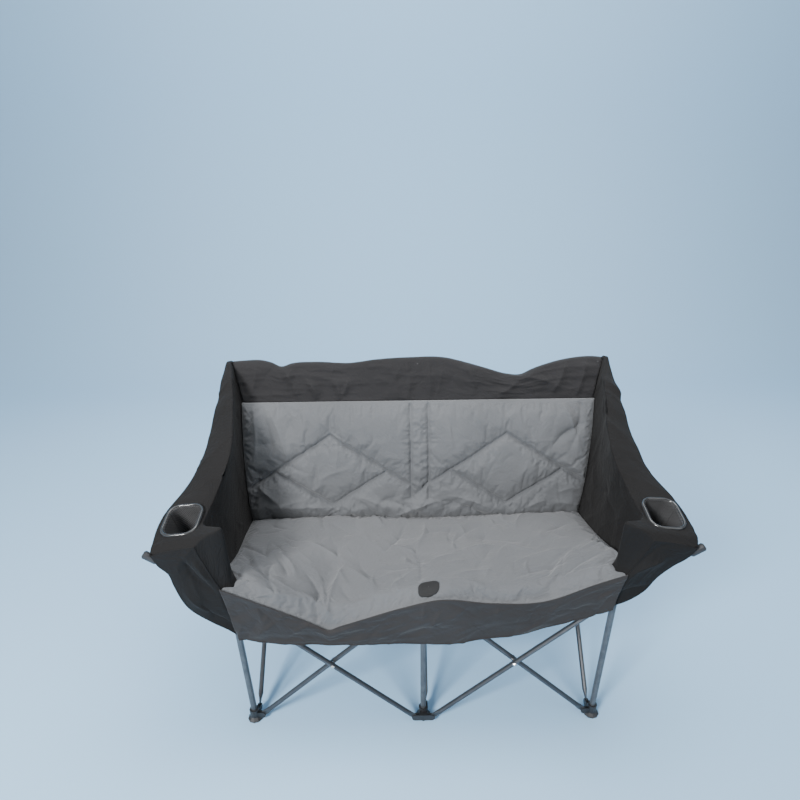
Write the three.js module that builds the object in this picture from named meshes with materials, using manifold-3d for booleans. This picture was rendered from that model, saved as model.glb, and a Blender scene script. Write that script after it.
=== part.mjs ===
// Folding two-seat camp chair: a steel frame on six feet that folds in both directions at once,
// with a sewn fabric body of padded seat, padded back, side wings with armrests, and a front valance.
// Millimetres, +Z up, front towards -Y, standing on Z = 0 and centred on X = 0.

import * as THREE from 'three';
import { mergeVertices } from 'three/addons/utils/BufferGeometryUtils.js';
import Module from 'manifold-3d';

const wasm = await Module();
wasm.setup();

// Frame: posts stand on a grid of three columns and two rows
const BAY = 466;
const POST_D = 16;
const POST_WALL = 1.2;
const FRONT_POST_TOP = 612;
const CENTRE_POST_TOP = 388;
const REAR_BEND_Z = 636;
const REAR_BEND_LENGTH = 50;
const REAR_TOP_RISE = 196;
const REAR_TOP_LEAN = 102;
const REAR_TOP_FLARE = 72;

// Braces: tubes with flattened ends, riveted in crossed pairs
const BRACE_D = 13;
const BRACE_WALL = 1.2;
const TONGUE_THICKNESS = 3;
const TONGUE_WIDTH = 18;
const TONGUE_END = 9;
const TONGUE_NOSE = 0.62;
const TONGUE_LENGTH = 14;
const TONGUE_TAPER = 20;
const PIVOT_REACH = 22;
const FOOT_PIVOT_Z = 18;
const HUB_PIVOT_Z = 414;
const OUTER_BRACE_OFFSET = 19.5;
const INNER_BRACE_OFFSET = 4;
const SIDE_BRACE_OFFSET = 8;

// Arm supports: the outer front braces run on past their hubs
const ARM_STRAIGHT = 112;
const ARM_BEND_LENGTH = 30;
const ARM_BEND = THREE.MathUtils.degToRad(8);
const ARM_END = 100;
const ARM_CAP_D = 20;
const ARM_CAP_LENGTH = 34;
const ARM_CAP_DEPTH = 28;

// Moulded feet and hubs
const FOOT_D = 41;
const FOOT_RIM = 4.5;
const SOCKET_D = 26;
const SOCKET_TOP = 36;
const SOCKET_FLOOR = 6;
const HUB_D = 24;
const HUB_ABOVE = 13;
const HUB_BELOW = 16;
const EAR_RADIUS = 9.5;
const EAR_PLATE = 3;
const PIN_D = 6;
const PIN_HEAD_D = 11;
const PIN_HEAD = 2;
const RIVET_D = 5;
const RIVET_HEAD_D = 11;
const RIVET_HEAD = 2.2;
const CAP_D = 19;
const CAP_HEIGHT = 6;
const CAP_PLUG = 14;
const ROD_D = 12.2;
const ROD_LENGTH = 260;

// Clearances
const SLIDE_GAP = 0.45;
const SEAT_GAP = 0.3;
const SLOT_GAP = 0.3;
const SEAM_GAP = 0.4;

// Seat pad
const SEAT_FRONT_Y = -32;
const SEAT_REAR_DROP = 66;
const SEAT_REAR_Z = 405;
const SEAT_CENTRE_Z = 457;
const SEAT_CORNER_Z = 474;
const SEAT_LEFT_SAG = 104;
const SEAT_RIGHT_SAG = 38;
const SEAT_DISH = 14;
const SEAT_ROLL = 20;
const SEAT_ROLL_DEPTH = 46;
const SEAT_PAD = 22;
const SEAT_PAD_EDGE = 9;
const SEAT_OVERHANG = 26;
const POST_SLEEVE = 20;
const POST_SLEEVE_END = 24;
const SEAT_FLARE = 56;

// Back pad and its quilting
const BACK_TOP_Z = 735;
const BACK_CURVE = 2;
const BACK_PAD = 24;
const BACK_PAD_EDGE = 10;
const BACK_TOP_OVERHANG = 64;
const QUILT_STEP_Z = 33;
const QUILT_COLUMNS = 10;
const DIAMOND_COLUMN = 5;
const DIAMOND_REACH = 3;
const DIAMOND_Z = 552;
const CENTRE_SEAM_COLUMN = 0.5;
const QUILT_DEPTH = 8;
const QUILT_SPREAD = 14;

// Top border, valance and wings
const BORDER_THICKNESS = 26;
const BORDER_EDGE = 8;
const BORDER_COVER = 12;
const BORDER_DIP = 34;
const BORDER_SIDE = 14;
const CLOTH = 3;
const VALANCE_CENTRE_Z = 304;
const VALANCE_LEFT_RISE = 34;
const VALANCE_RIGHT_RISE = 102;
const VALANCE_WAVE = 2.2;
const VALANCE_WAVES = 5;
const ARM_INNER_Z = 634;
const ARM_OUTER_X = 626;
const ARM_OUTER_Z = 588;
const ARM_TIP_SETBACK = 22;
const WING_MID_X = 562;
const SKIRT_X = 556;
const SKIRT_Z = 400;

// Cup holders
const CUP_Y = 52;
const CUP_RING_WIDTH = 88;
const CUP_RING_LENGTH = 104;
const CUP_RING_CORNER = 30;
const CUP_RING_BAND = 7;
const CUP_RING_HEIGHT = 7;
const CUP_FROM_RIM = 58;
const CUP_DEPTH = 104;
const CUP_TAPER = 0.72;
const CUP_WALL = 2.4;

// Rubber patch on the seat front
const PATCH_X = 11;
const PATCH_Y = -6;
const PATCH_WIDTH = 44;
const PATCH_LENGTH = 34;
const PATCH_CORNER = 9;
const PATCH_HEIGHT = 3;

// Facets
const TUBE_SIDES = 10;
const TURN_SIDES = 10;
const PIN_SIDES = 6;

// Values that follow from the sizes above
const BRACE_RUN = BAY - 2 * PIVOT_REACH;
const BRACE_RISE = HUB_PIVOT_Z - FOOT_PIVOT_Z;
const BRACE_LENGTH = Math.hypot(BRACE_RUN, BRACE_RISE);
const BRACE_SPREAD = Math.atan2(BRACE_RUN, BRACE_RISE);
const POST_R = POST_D / 2;
const BRACE_R = BRACE_D / 2;
const SLOT = TONGUE_THICKNESS + 2 * SLOT_GAP;
const EAR_WIDTH = SLOT + 2 * EAR_PLATE;
const TONGUE_SWEEP = Math.hypot(TONGUE_END, TONGUE_NOSE * TONGUE_WIDTH / 2) + SLOT_GAP;
const FACET_MARGIN = 1 / Math.cos(Math.PI / TURN_SIDES);
const PIN_MARGIN = 1.04 / Math.cos(Math.PI / PIN_SIDES);
const SEAT_REAR_Y = BAY - SEAT_REAR_DROP;
const REAR_POST_HALF = POST_R / Math.cos(Math.atan2(REAR_TOP_LEAN, REAR_TOP_RISE));

const COLUMNS = { left: -1, centre: 0, right: 1 };
const ROWS = { front: 0, rear: 1 };

// Finishes
const FINISH = {
  steel: { color: 0x3b434b, roughness: 0.42, metalness: 0.7 },
  plastic: { color: 0x1d1e20, roughness: 0.55, metalness: 0.0 },
  rivet: { color: 0xb9bcbf, roughness: 0.3, metalness: 1.0 },
  greyCloth: { color: 0x8a8d90, roughness: 0.85, metalness: 0.0 },
  blackCloth: { color: 0x2a2a2d, roughness: 0.9, metalness: 0.0 },
  mesh: { color: 0x303135, roughness: 0.9, metalness: 0.0 },
  ring: { color: 0x55585c, roughness: 0.35, metalness: 0.0 },
  rubber: { color: 0x18191a, roughness: 0.6, metalness: 0.0 },
};

const lerp = THREE.MathUtils.lerp;
const smoothstep = THREE.MathUtils.smoothstep;

// Solids: closed geometries that are joined and cut
function solid(geometry) {
  const bare = geometry.clone();
  bare.deleteAttribute('normal');
  bare.deleteAttribute('uv');
  const merged = mergeVertices(bare, 1e-4);
  const position = merged.attributes.position.array;
  const kept = [];
  for (let i = 0; i < merged.index.count; i += 3) {
    const [a, b, c] = [merged.index.getX(i), merged.index.getX(i + 1), merged.index.getX(i + 2)];
    if (a !== b && b !== c && c !== a) kept.push(a, b, c);
  }
  return new wasm.Manifold(new wasm.Mesh({
    numProp: 3,
    vertProperties: new Float32Array(position),
    triVerts: new Uint32Array(kept),
  }));
}

function geometryOf(body) {
  const mesh = body.getMesh();
  const geometry = new THREE.BufferGeometry();
  geometry.setAttribute('position', new THREE.BufferAttribute(new Float32Array(mesh.vertProperties), 3));
  geometry.setIndex(new THREE.BufferAttribute(new Uint32Array(mesh.triVerts), 1));
  geometry.computeVertexNormals();
  return geometry;
}

const join = (bodies) => bodies.reduce((sum, body) => sum.add(body));
const cut = (body, tools) => tools.reduce((rest, tool) => rest.subtract(tool), body);

function named(name, geometry, finish) {
  const mesh = new THREE.Mesh(geometry, new THREE.MeshStandardMaterial(FINISH[finish]));
  mesh.name = name;
  return mesh;
}

function placed(object, x, y, z) {
  object.position.set(x, y, z);
  return object;
}

// A solid turned about Z from a profile of [radius, height] pairs
function turned(profile, sides = TURN_SIDES) {
  const points = profile.map(([r, z]) => new THREE.Vector2(r, z));
  return new THREE.LatheGeometry(points, sides).rotateX(Math.PI / 2);
}

// A ring turned about Z whose profile closes on itself
function turnedRing(profile, sides = TURN_SIDES) {
  return turned([...profile, profile[0]], sides);
}

// A pin along Y between two places
function pin(diameter, from, to) {
  const length = Math.abs(to - from);
  return new THREE.CylinderGeometry(diameter / 2, diameter / 2, length, PIN_SIDES)
    .translate(0, (from + to) / 2, 0);
}

// A closed skin over rings of points, with a fan over each end ring
function skinned(rings) {
  const count = rings[0].length;
  const vertices = rings.flat().flatMap((point) => [point.x, point.y, point.z]);
  const index = [];
  for (let r = 0; r + 1 < rings.length; r += 1) {
    for (let k = 0; k < count; k += 1) {
      const next = (k + 1) % count;
      const [a, b] = [r * count + k, r * count + next];
      index.push(a, b, b + count, a, b + count, a + count);
    }
  }
  const last = (rings.length - 1) * count;
  for (let k = 1; k + 1 < count; k += 1) {
    index.push(0, k + 1, k, last, last + k, last + k + 1);
  }
  const geometry = new THREE.BufferGeometry();
  geometry.setAttribute('position', new THREE.Float32BufferAttribute(vertices, 3));
  geometry.setIndex(index);
  return geometry;
}

// A closed sheet: a grid of points thickened to one side along a direction
function sheet(rows, thickness, direction) {
  const columns = rows[0].length;
  const at = (i, j) => i * columns + j;
  const under = rows.length * columns;
  const [face, base] = [[], []];
  rows.forEach((row, i) => row.forEach((point, j) => {
    face.push(...point.clone().addScaledVector(direction(i, j), thickness(i, j)).toArray());
    base.push(...point.toArray());
  }));
  const index = [];
  const quad = (a, b, c, d) => index.push(a, b, c, a, c, d);
  for (let i = 0; i + 1 < rows.length; i += 1) {
    for (let j = 0; j + 1 < columns; j += 1) {
      const [a, b, c, d] = [at(i, j), at(i, j + 1), at(i + 1, j + 1), at(i + 1, j)];
      quad(a, b, c, d);
      quad(d + under, c + under, b + under, a + under);
    }
  }
  const border = [];
  for (let j = 0; j + 1 < columns; j += 1) border.push(at(0, j));
  for (let i = 0; i + 1 < rows.length; i += 1) border.push(at(i, columns - 1));
  for (let j = columns - 1; j > 0; j -= 1) border.push(at(rows.length - 1, j));
  for (let i = rows.length - 1; i > 0; i -= 1) border.push(at(i, 0));
  border.forEach((a, k) => {
    const b = border[(k + 1) % border.length];
    quad(a, a + under, b + under, b);
  });
  const geometry = new THREE.BufferGeometry();
  geometry.setAttribute('position', new THREE.Float32BufferAttribute([...face, ...base], 3));
  geometry.setIndex(index);
  return facingOut(geometry);
}

// Turns the faces of a closed geometry outwards
function facingOut(geometry) {
  const position = geometry.attributes.position;
  const index = geometry.index;
  const [a, b, c] = [new THREE.Vector3(), new THREE.Vector3(), new THREE.Vector3()];
  let volume = 0;
  for (let i = 0; i < index.count; i += 3) {
    a.fromBufferAttribute(position, index.getX(i));
    b.fromBufferAttribute(position, index.getX(i + 1));
    c.fromBufferAttribute(position, index.getX(i + 2));
    volume += a.dot(b.cross(c));
  }
  if (volume < 0) geometry.index.array.reverse();
  geometry.computeVertexNormals();
  return geometry;
}

// Outline of a rounded rectangle about the origin
function roundedRectangle(width, length, corner, Kind = THREE.Shape) {
  const [w, l] = [width / 2, length / 2];
  const shape = new Kind();
  shape.moveTo(-w + corner, -l);
  shape.lineTo(w - corner, -l);
  shape.absarc(w - corner, -l + corner, corner, -Math.PI / 2, 0);
  shape.lineTo(w, l - corner);
  shape.absarc(w - corner, l - corner, corner, 0, Math.PI / 2);
  shape.lineTo(-w + corner, l);
  shape.absarc(-w + corner, l - corner, corner, Math.PI / 2, Math.PI);
  shape.lineTo(-w, -l + corner);
  shape.absarc(-w + corner, -l + corner, corner, Math.PI, 1.5 * Math.PI);
  shape.closePath();
  return shape;
}

// Posts
function straightPost(top) {
  const [outer, inner] = [POST_R, POST_R - POST_WALL];
  const bottom = SOCKET_FLOOR + SEAT_GAP;
  return turnedRing([[inner, bottom], [outer, bottom], [outer, top], [inner, top]], TUBE_SIDES);
}

// Rear posts bend back above the travel of their hubs, and the outer ones also outwards
function rearTopDirection(side) {
  return new THREE.Vector3(side * REAR_TOP_FLARE, REAR_TOP_LEAN, REAR_TOP_RISE).normalize();
}

function rearPostTop(side) {
  return new THREE.Vector3(side * REAR_TOP_FLARE, REAR_TOP_LEAN, REAR_BEND_Z + REAR_TOP_RISE);
}

function rearPost(side) {
  const bottom = new THREE.Vector3(0, 0, SOCKET_FLOOR + SEAT_GAP);
  const elbow = new THREE.Vector3(0, 0, REAR_BEND_Z);
  const bendStart = elbow.clone().setZ(REAR_BEND_Z - REAR_BEND_LENGTH / 2);
  const bendEnd = elbow.clone().addScaledVector(rearTopDirection(side), REAR_BEND_LENGTH / 2);
  const bend = new THREE.QuadraticBezierCurve3(bendStart, elbow, bendEnd).getPoints(4);
  return pipeThrough([bottom, ...bend, rearPostTop(side)]);
}

// A hollow pipe through points, with its rings square to the bisected path
function pipeThrough(points) {
  const across = new THREE.Vector3(1, 0, 0);
  const rings = (radius) => points.map((point, k) => {
    const before = points[Math.max(k - 1, 0)];
    const after = points[Math.min(k + 1, points.length - 1)];
    const along = after.clone().sub(before).normalize();
    const sideways = across.clone().addScaledVector(along, -across.dot(along)).normalize();
    const forward = along.clone().cross(sideways);
    return Array.from({ length: TUBE_SIDES }, (_, s) => {
      const angle = (2 * Math.PI * s) / TUBE_SIDES;
      return point.clone()
        .addScaledVector(sideways, radius * Math.cos(angle))
        .addScaledVector(forward, radius * Math.sin(angle));
    });
  });
  const outer = rings(POST_R);
  const inner = rings(POST_R - POST_WALL);
  return skinnedLoop([...outer, ...inner.reverse()]);
}

// A closed skin over rings that return to the first one, as round a pipe's wall
function skinnedLoop(rings) {
  const count = rings[0].length;
  const index = [];
  rings.forEach((_, r) => {
    const [here, there] = [r * count, ((r + 1) % rings.length) * count];
    for (let k = 0; k < count; k += 1) {
      const next = (k + 1) % count;
      index.push(here + k, here + next, there + next, here + k, there + next, there + k);
    }
  });
  const geometry = new THREE.BufferGeometry();
  const vertices = rings.flat().flatMap((point) => [point.x, point.y, point.z]);
  geometry.setAttribute('position', new THREE.Float32BufferAttribute(vertices, 3));
  geometry.setIndex(index);
  return facingOut(geometry);
}

// A domed cap with a plug that sits in the open end of a post; its origin is the post's end
function postCap() {
  const plug = POST_R - POST_WALL - SEAT_GAP - 0.2;
  const radius = CAP_D / 2;
  return turned([
    [0, -CAP_PLUG], [plug, -CAP_PLUG], [plug, SEAT_GAP], [radius, SEAT_GAP],
    [radius, CAP_HEIGHT * 0.55], [radius * 0.6, CAP_HEIGHT], [0, CAP_HEIGHT],
  ]);
}

// Braces: built along +Z from the lower pivot, with pivot pins along Y
function braceRing(x, z, tilt, halfWidth, halfThickness) {
  return Array.from({ length: TUBE_SIDES }, (_, k) => {
    const angle = (2 * Math.PI * k) / TUBE_SIDES;
    const across = halfWidth * Math.cos(angle);
    const flat = Math.sign(Math.sin(angle)) * Math.sqrt(Math.abs(Math.sin(angle)));
    const round = Math.sin(angle);
    const share = halfThickness < halfWidth ? flat : round;
    const [aside, down] = [across * Math.cos(tilt), across * Math.sin(tilt)];
    return new THREE.Vector3(x + aside, halfThickness * share, z - down);
  });
}

function tongueRings(end, inwards) {
  const [half, thick] = [TONGUE_WIDTH / 2, TONGUE_THICKNESS / 2];
  const place = (distance) => end + inwards * distance;
  return [
    braceRing(0, place(-TONGUE_END), 0, half * TONGUE_NOSE, thick),
    braceRing(0, place(TONGUE_LENGTH), 0, half, thick),
    braceRing(0, place(TONGUE_LENGTH + TONGUE_TAPER), 0, BRACE_R, BRACE_R),
  ];
}

function braceHoles() {
  const bore = (diameter, z) => solid(pin(diameter * PIN_MARGIN, -BRACE_D, BRACE_D).translate(0, 0, z));
  return [bore(PIN_D, 0), bore(RIVET_D, BRACE_LENGTH / 2), bore(PIN_D, BRACE_LENGTH)];
}

function brace() {
  const hollow = BRACE_R - BRACE_WALL;
  const start = TONGUE_LENGTH + TONGUE_TAPER;
  const outer = skinned([...tongueRings(0, 1), ...tongueRings(BRACE_LENGTH, -1).reverse()]);
  const inner = skinned([start, BRACE_LENGTH - start].map((z) => braceRing(0, z, 0, hollow, hollow)));
  return geometryOf(cut(solid(outer), [solid(inner), ...braceHoles()]));
}

// The path of an arm support past its hub, in the brace's own plane
function armPath() {
  const bendStart = new THREE.Vector2(0, BRACE_LENGTH + ARM_STRAIGHT);
  const half = ARM_BEND / 2;
  const bendEnd = bendStart.clone()
    .add(new THREE.Vector2(Math.sin(half), Math.cos(half)).multiplyScalar(ARM_BEND_LENGTH));
  const out = new THREE.Vector2(Math.sin(ARM_BEND), Math.cos(ARM_BEND));
  return { bendStart, bendEnd, out, tip: bendEnd.clone().addScaledVector(out, ARM_END) };
}

function armBrace() {
  const { bendStart, bendEnd, out, tip } = armPath();
  const rings = (radius, past) => [
    braceRing(bendStart.x, bendStart.y, 0, radius, radius),
    braceRing(bendEnd.x, bendEnd.y, ARM_BEND, radius, radius),
    braceRing(tip.x + past * out.x, tip.y + past * out.y, ARM_BEND, radius, radius),
  ];
  const hollow = BRACE_R - BRACE_WALL;
  const outer = skinned([...tongueRings(0, 1), ...rings(BRACE_R, 0)]);
  const start = braceRing(0, TONGUE_LENGTH + TONGUE_TAPER, 0, hollow, hollow);
  const inner = skinned([start, ...rings(hollow, BRACE_D)]);
  return geometryOf(cut(solid(outer), [solid(inner), ...braceHoles()]));
}

// A cap pushed over the bare end of an arm support; its origin is the end of the tube
function armCap() {
  const [outer, inner] = [ARM_CAP_D / 2, BRACE_R + SEAT_GAP + 0.1];
  const mouth = -ARM_CAP_DEPTH;
  const crown = ARM_CAP_LENGTH - ARM_CAP_DEPTH;
  return turned([
    [0, SEAT_GAP], [inner, SEAT_GAP], [inner, mouth], [outer - 1.5, mouth], [outer, mouth + 3],
    [outer, crown - 3], [outer - 3, crown], [0, crown],
  ]);
}

// A rivet along Y through both braces of a pair; the braces lie at two offsets
function crossingRivet(near, far) {
  const [low, high] = [Math.min(near, far), Math.max(near, far)];
  const heads = [low - BRACE_R - SEAT_GAP, high + BRACE_R + SEAT_GAP];
  const [shank, head] = [RIVET_D / 2, RIVET_HEAD_D / 2];
  const collar = [low + BRACE_R + SEAT_GAP, high - BRACE_R - SEAT_GAP];
  const profile = [
    [0, heads[0] - RIVET_HEAD], [head * 0.6, heads[0] - RIVET_HEAD], [head, heads[0]], [shank, heads[0]],
    [shank, collar[0]], [head, collar[0]], [head, collar[1]], [shank, collar[1]],
    [shank, heads[1]], [head, heads[1]], [head * 0.6, heads[1] + RIVET_HEAD], [0, heads[1] + RIVET_HEAD],
  ];
  return turned(profile, PIN_SIDES).rotateX(-Math.PI / 2);
}

// Feet and hubs: a turned socket with ears; an ear reaches towards one neighbour, beside the post axis
function turnedEar(geometry, toX, toY) {
  return solid(geometry.rotateZ(Math.atan2(toY, toX)));
}

function earOffset(toX, toY, offset) {
  return toX !== 0 ? toX * offset : -toY * offset;
}

function earPlate(reach, width, offset, z) {
  const outline = new THREE.Shape();
  outline.moveTo(0, -EAR_RADIUS);
  outline.lineTo(reach, -EAR_RADIUS);
  outline.absarc(reach, 0, EAR_RADIUS, -Math.PI / 2, Math.PI / 2);
  outline.lineTo(0, EAR_RADIUS);
  outline.closePath();
  return new THREE.ExtrudeGeometry(outline, { depth: width, bevelEnabled: false, curveSegments: 4 })
    .translate(0, 0, -width / 2)
    .rotateX(Math.PI / 2)
    .translate(0, offset, z);
}

function clevis({ to: [toX, toY], offset, z }) {
  const aside = earOffset(toX, toY, offset);
  const inner = PIVOT_REACH - TONGUE_SWEEP - SLOT_GAP;
  const slotLength = 2 * EAR_RADIUS + TONGUE_SWEEP;
  const slot = new THREE.BoxGeometry(slotLength, SLOT, 2 * TONGUE_SWEEP + SLOT_GAP)
    .translate(inner + slotLength / 2, aside, z);
  const plates = [earPlate(PIVOT_REACH, EAR_WIDTH, aside, z)];
  if (Math.abs(aside) > HUB_D / 2) {
    const bridge = Math.abs(aside);
    plates.push(new THREE.BoxGeometry(2 * inner, bridge, 2 * EAR_RADIUS)
      .translate(0, Math.sign(aside) * bridge / 2, z));
  }
  const hold = (SLOT + EAR_PLATE) / 2;
  const rivet = pin(PIN_D, aside - hold, aside + hold).translate(PIVOT_REACH, 0, z);
  return {
    plates: plates.map((plate) => turnedEar(plate, toX, toY)),
    slots: [turnedEar(slot, toX, toY)],
    pins: [turnedEar(rivet, toX, toY)],
  };
}

// A lug with a headed pin for a brace that runs on past its hub
function headedLug({ to: [toX, toY], offset, z }) {
  const aside = earOffset(toX, toY, offset);
  const outwards = Math.sign(aside);
  const face = aside - outwards * (BRACE_R + SEAT_GAP);
  const thickness = Math.abs(face) - POST_R / 2;
  const lug = earPlate(PIVOT_REACH, thickness, face - outwards * thickness / 2, z);
  const headAt = aside + outwards * (BRACE_R + SEAT_GAP);
  const shank = pin(PIN_D, face - outwards, headAt + outwards).translate(PIVOT_REACH, 0, z);
  const head = pin(PIN_HEAD_D, headAt, headAt + outwards * PIN_HEAD).translate(PIVOT_REACH, 0, z);
  return {
    plates: [turnedEar(lug, toX, toY)],
    slots: [],
    pins: [turnedEar(shank, toX, toY), turnedEar(head, toX, toY)],
  };
}

function withEars(core, bore, ears) {
  const whole = join([solid(core), ...ears.flatMap((ear) => ear.plates)]);
  const open = cut(whole, [solid(bore), ...ears.flatMap((ear) => ear.slots)]);
  return geometryOf(join([open, ...ears.flatMap((ear) => ear.pins)]));
}

function foot(ears) {
  const [pad, socket] = [FOOT_D / 2, SOCKET_D / 2];
  const core = turned([
    [0, 0], [pad - 1.5, 0], [pad, 1.5], [pad, FOOT_RIM], [socket, SOCKET_TOP / 3], [socket, SOCKET_TOP],
    [0, SOCKET_TOP],
  ]);
  const boreRadius = (POST_R + SEAT_GAP) * FACET_MARGIN;
  const boreTop = SOCKET_TOP + 1;
  const bore = turned([[0, SOCKET_FLOOR], [boreRadius, SOCKET_FLOOR], [boreRadius, boreTop], [0, boreTop]]);
  return withEars(core, bore, ears);
}

function hub(boreDiameter, floor, ears) {
  const radius = HUB_D / 2;
  const [low, high] = [HUB_PIVOT_Z - HUB_BELOW, HUB_PIVOT_Z + HUB_ABOVE];
  const core = turned([
    [0, low], [radius - 1, low], [radius, low + 1.5], [radius, high - 1.5], [radius - 1, high], [0, high],
  ]);
  const boreRadius = (boreDiameter / 2 + SLIDE_GAP) * FACET_MARGIN;
  const roof = floor ?? high + 1;
  const bore = turned([[0, low - 1], [boreRadius, low - 1], [boreRadius, roof], [0, roof]]);
  return withEars(core, bore, ears);
}

// Which brace ends meet at a foot or hub: rows run across, sides run front to back
function rowSign(row) {
  return ROWS[row] === 0 ? -1 : 1;
}

function sideOffset(column) {
  const inwards = COLUMNS[column] > 0 ? -1 : 1;
  return { forwardBrace: inwards * SIDE_BRACE_OFFSET, backwardBrace: -inwards * SIDE_BRACE_OFFSET };
}

function footEars(row, column) {
  const [rowOut, side, z] = [rowSign(row), COLUMNS[column], FOOT_PIVOT_Z];
  const towards = -rowOut;
  const { forwardBrace, backwardBrace } = sideOffset(column);
  const sideEar = clevis({ to: [0, towards], offset: row === 'front' ? forwardBrace : backwardBrace, z });
  if (side === 0) {
    const offset = rowOut * OUTER_BRACE_OFFSET;
    return [clevis({ to: [-1, 0], offset, z }), clevis({ to: [1, 0], offset, z }), sideEar];
  }
  return [clevis({ to: [-side, 0], offset: rowOut * INNER_BRACE_OFFSET, z }), sideEar];
}

function hubEars(row, column) {
  const [rowOut, side, z] = [rowSign(row), COLUMNS[column], HUB_PIVOT_Z];
  const towards = -rowOut;
  const { forwardBrace, backwardBrace } = sideOffset(column);
  const sideEar = clevis({ to: [0, towards], offset: row === 'front' ? backwardBrace : forwardBrace, z });
  if (side === 0) {
    const offset = rowOut * INNER_BRACE_OFFSET;
    return [clevis({ to: [-1, 0], offset, z }), clevis({ to: [1, 0], offset, z }), sideEar];
  }
  const ear = row === 'front' ? headedLug : clevis;
  return [ear({ to: [-side, 0], offset: rowOut * OUTER_BRACE_OFFSET, z }), sideEar];
}

function uprights() {
  const group = new THREE.Group();
  for (const [row, depth] of Object.entries(ROWS)) {
    for (const [column, side] of Object.entries(COLUMNS)) {
      group.add(placed(upright(row, column), side * BAY, depth * BAY, 0));
    }
  }
  return group;
}

// One column of the frame: foot, post, hub and cap on a common axis
function upright(row, column) {
  const group = new THREE.Group();
  const name = (piece) => `${piece}_${row}_${column}`;
  const side = COLUMNS[column];
  const telescopic = row === 'front' && side === 0;
  group.add(named(name('foot'), foot(footEars(row, column)), 'plastic'));
  if (telescopic) {
    const rodTop = HUB_PIVOT_Z - SEAT_GAP;
    group.add(named(name('post'), straightPost(CENTRE_POST_TOP), 'steel'));
    group.add(named('centre_rod', centreRod(rodTop), 'steel'));
    const rodSeat = ROD_D - 2 * (SLIDE_GAP - SEAT_GAP);
    group.add(named(name('hub'), hub(rodSeat, HUB_PIVOT_Z, hubEars(row, column)), 'plastic'));
    return group;
  }
  const post = row === 'front' ? straightPost(FRONT_POST_TOP) : rearPost(side);
  const cap = named(name('post_cap'), postCap(), 'plastic');
  if (row === 'front') {
    cap.position.z = FRONT_POST_TOP;
  } else {
    cap.position.copy(rearPostTop(side));
    cap.quaternion.setFromUnitVectors(new THREE.Vector3(0, 0, 1), rearTopDirection(side));
  }
  group.add(named(name('post'), post, 'steel'), cap);
  group.add(named(name('hub'), hub(POST_D, null, hubEars(row, column)), 'plastic'));
  return group;
}

function centreRod(top) {
  const radius = ROD_D / 2;
  const bottom = top - ROD_LENGTH;
  const profile = [[0, bottom], [radius - 1, bottom], [radius, bottom + 1], [radius, top], [0, top]];
  return turned(profile, TUBE_SIDES);
}

// A crossed pair of braces between two columns, in the plane of local X and Z, centred on its crossing.
// The rising brace goes up towards +X, the falling one up towards -X.
function crossedPair(names, risingOffset, fallingOffset, rising, falling) {
  const group = new THREE.Group();
  const up = named(names.rising, rising, 'steel');
  placed(up, -BRACE_RUN / 2, risingOffset, FOOT_PIVOT_Z).rotation.y = BRACE_SPREAD;
  const down = named(names.falling, falling, 'steel');
  placed(down, BRACE_RUN / 2, fallingOffset, FOOT_PIVOT_Z).rotation.y = -BRACE_SPREAD;
  const rivet = named(names.rivet, crossingRivet(risingOffset, fallingOffset), 'rivet');
  placed(rivet, 0, 0, FOOT_PIVOT_Z + BRACE_RISE / 2);
  group.add(up, down, rivet);
  return group;
}

function rowPairs() {
  const group = new THREE.Group();
  for (const [row, depth] of Object.entries(ROWS)) {
    const outer = rowSign(row) * OUTER_BRACE_OFFSET;
    const inner = rowSign(row) * INNER_BRACE_OFFSET;
    for (const column of ['left', 'right']) {
      const side = COLUMNS[column];
      const place = `${row}_${column}`;
      const outerName = row === 'front' ? `arm_brace_${column}` : `outer_brace_${place}`;
      const innerName = `inner_brace_${place}`;
      const outerBrace = row === 'front' ? mirrored(armBrace(), side) : brace();
      const names = { rivet: `crossing_rivet_${place}` };
      names.rising = side > 0 ? outerName : innerName;
      names.falling = side > 0 ? innerName : outerName;
      const pair = side > 0
        ? crossedPair(names, outer, inner, outerBrace, brace())
        : crossedPair(names, inner, outer, brace(), outerBrace);
      group.add(placed(pair, side * BAY / 2, depth * BAY, 0));
    }
  }
  return group;
}

// The bend of an arm support goes outwards: a left one is the mirror image of a right one
function mirrored(geometry, side) {
  if (side > 0) return geometry;
  const turned = geometry.clone().rotateZ(Math.PI);
  turned.computeVertexNormals();
  return turned;
}

function sidePairs() {
  const group = new THREE.Group();
  for (const [column, side] of Object.entries(COLUMNS)) {
    const { forwardBrace, backwardBrace } = sideOffset(column);
    const names = {
      rising: `rearward_brace_${column}`,
      falling: `forward_brace_${column}`,
      rivet: `crossing_rivet_side_${column}`,
    };
    const pair = crossedPair(names, -forwardBrace, -backwardBrace, brace(), brace());
    pair.rotation.z = Math.PI / 2;
    group.add(placed(pair, side * BAY, BAY / 2, 0));
  }
  return group;
}

function armCaps() {
  const group = new THREE.Group();
  const { tip } = armPath();
  for (const column of ['left', 'right']) {
    const side = COLUMNS[column];
    const holder = new THREE.Group();
    const cap = named(`arm_cap_${column}`, armCap(), 'plastic');
    placed(cap, side * tip.x, 0, tip.y).rotation.y = side * ARM_BEND;
    placed(holder, side * PIVOT_REACH, -OUTER_BRACE_OFFSET, FOOT_PIVOT_Z).rotation.y = side * BRACE_SPREAD;
    holder.add(cap);
    group.add(holder);
  }
  return group;
}

// Seat pad: a hammock between the hubs, deeper in the left half, rolled down at the front
function seatHalfWidth(y) {
  const flare = smoothstep(y, POST_SLEEVE_END, POST_SLEEVE_END + SEAT_FLARE);
  return lerp(BAY - POST_SLEEVE, BAY + SEAT_OVERHANG, flare);
}

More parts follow.
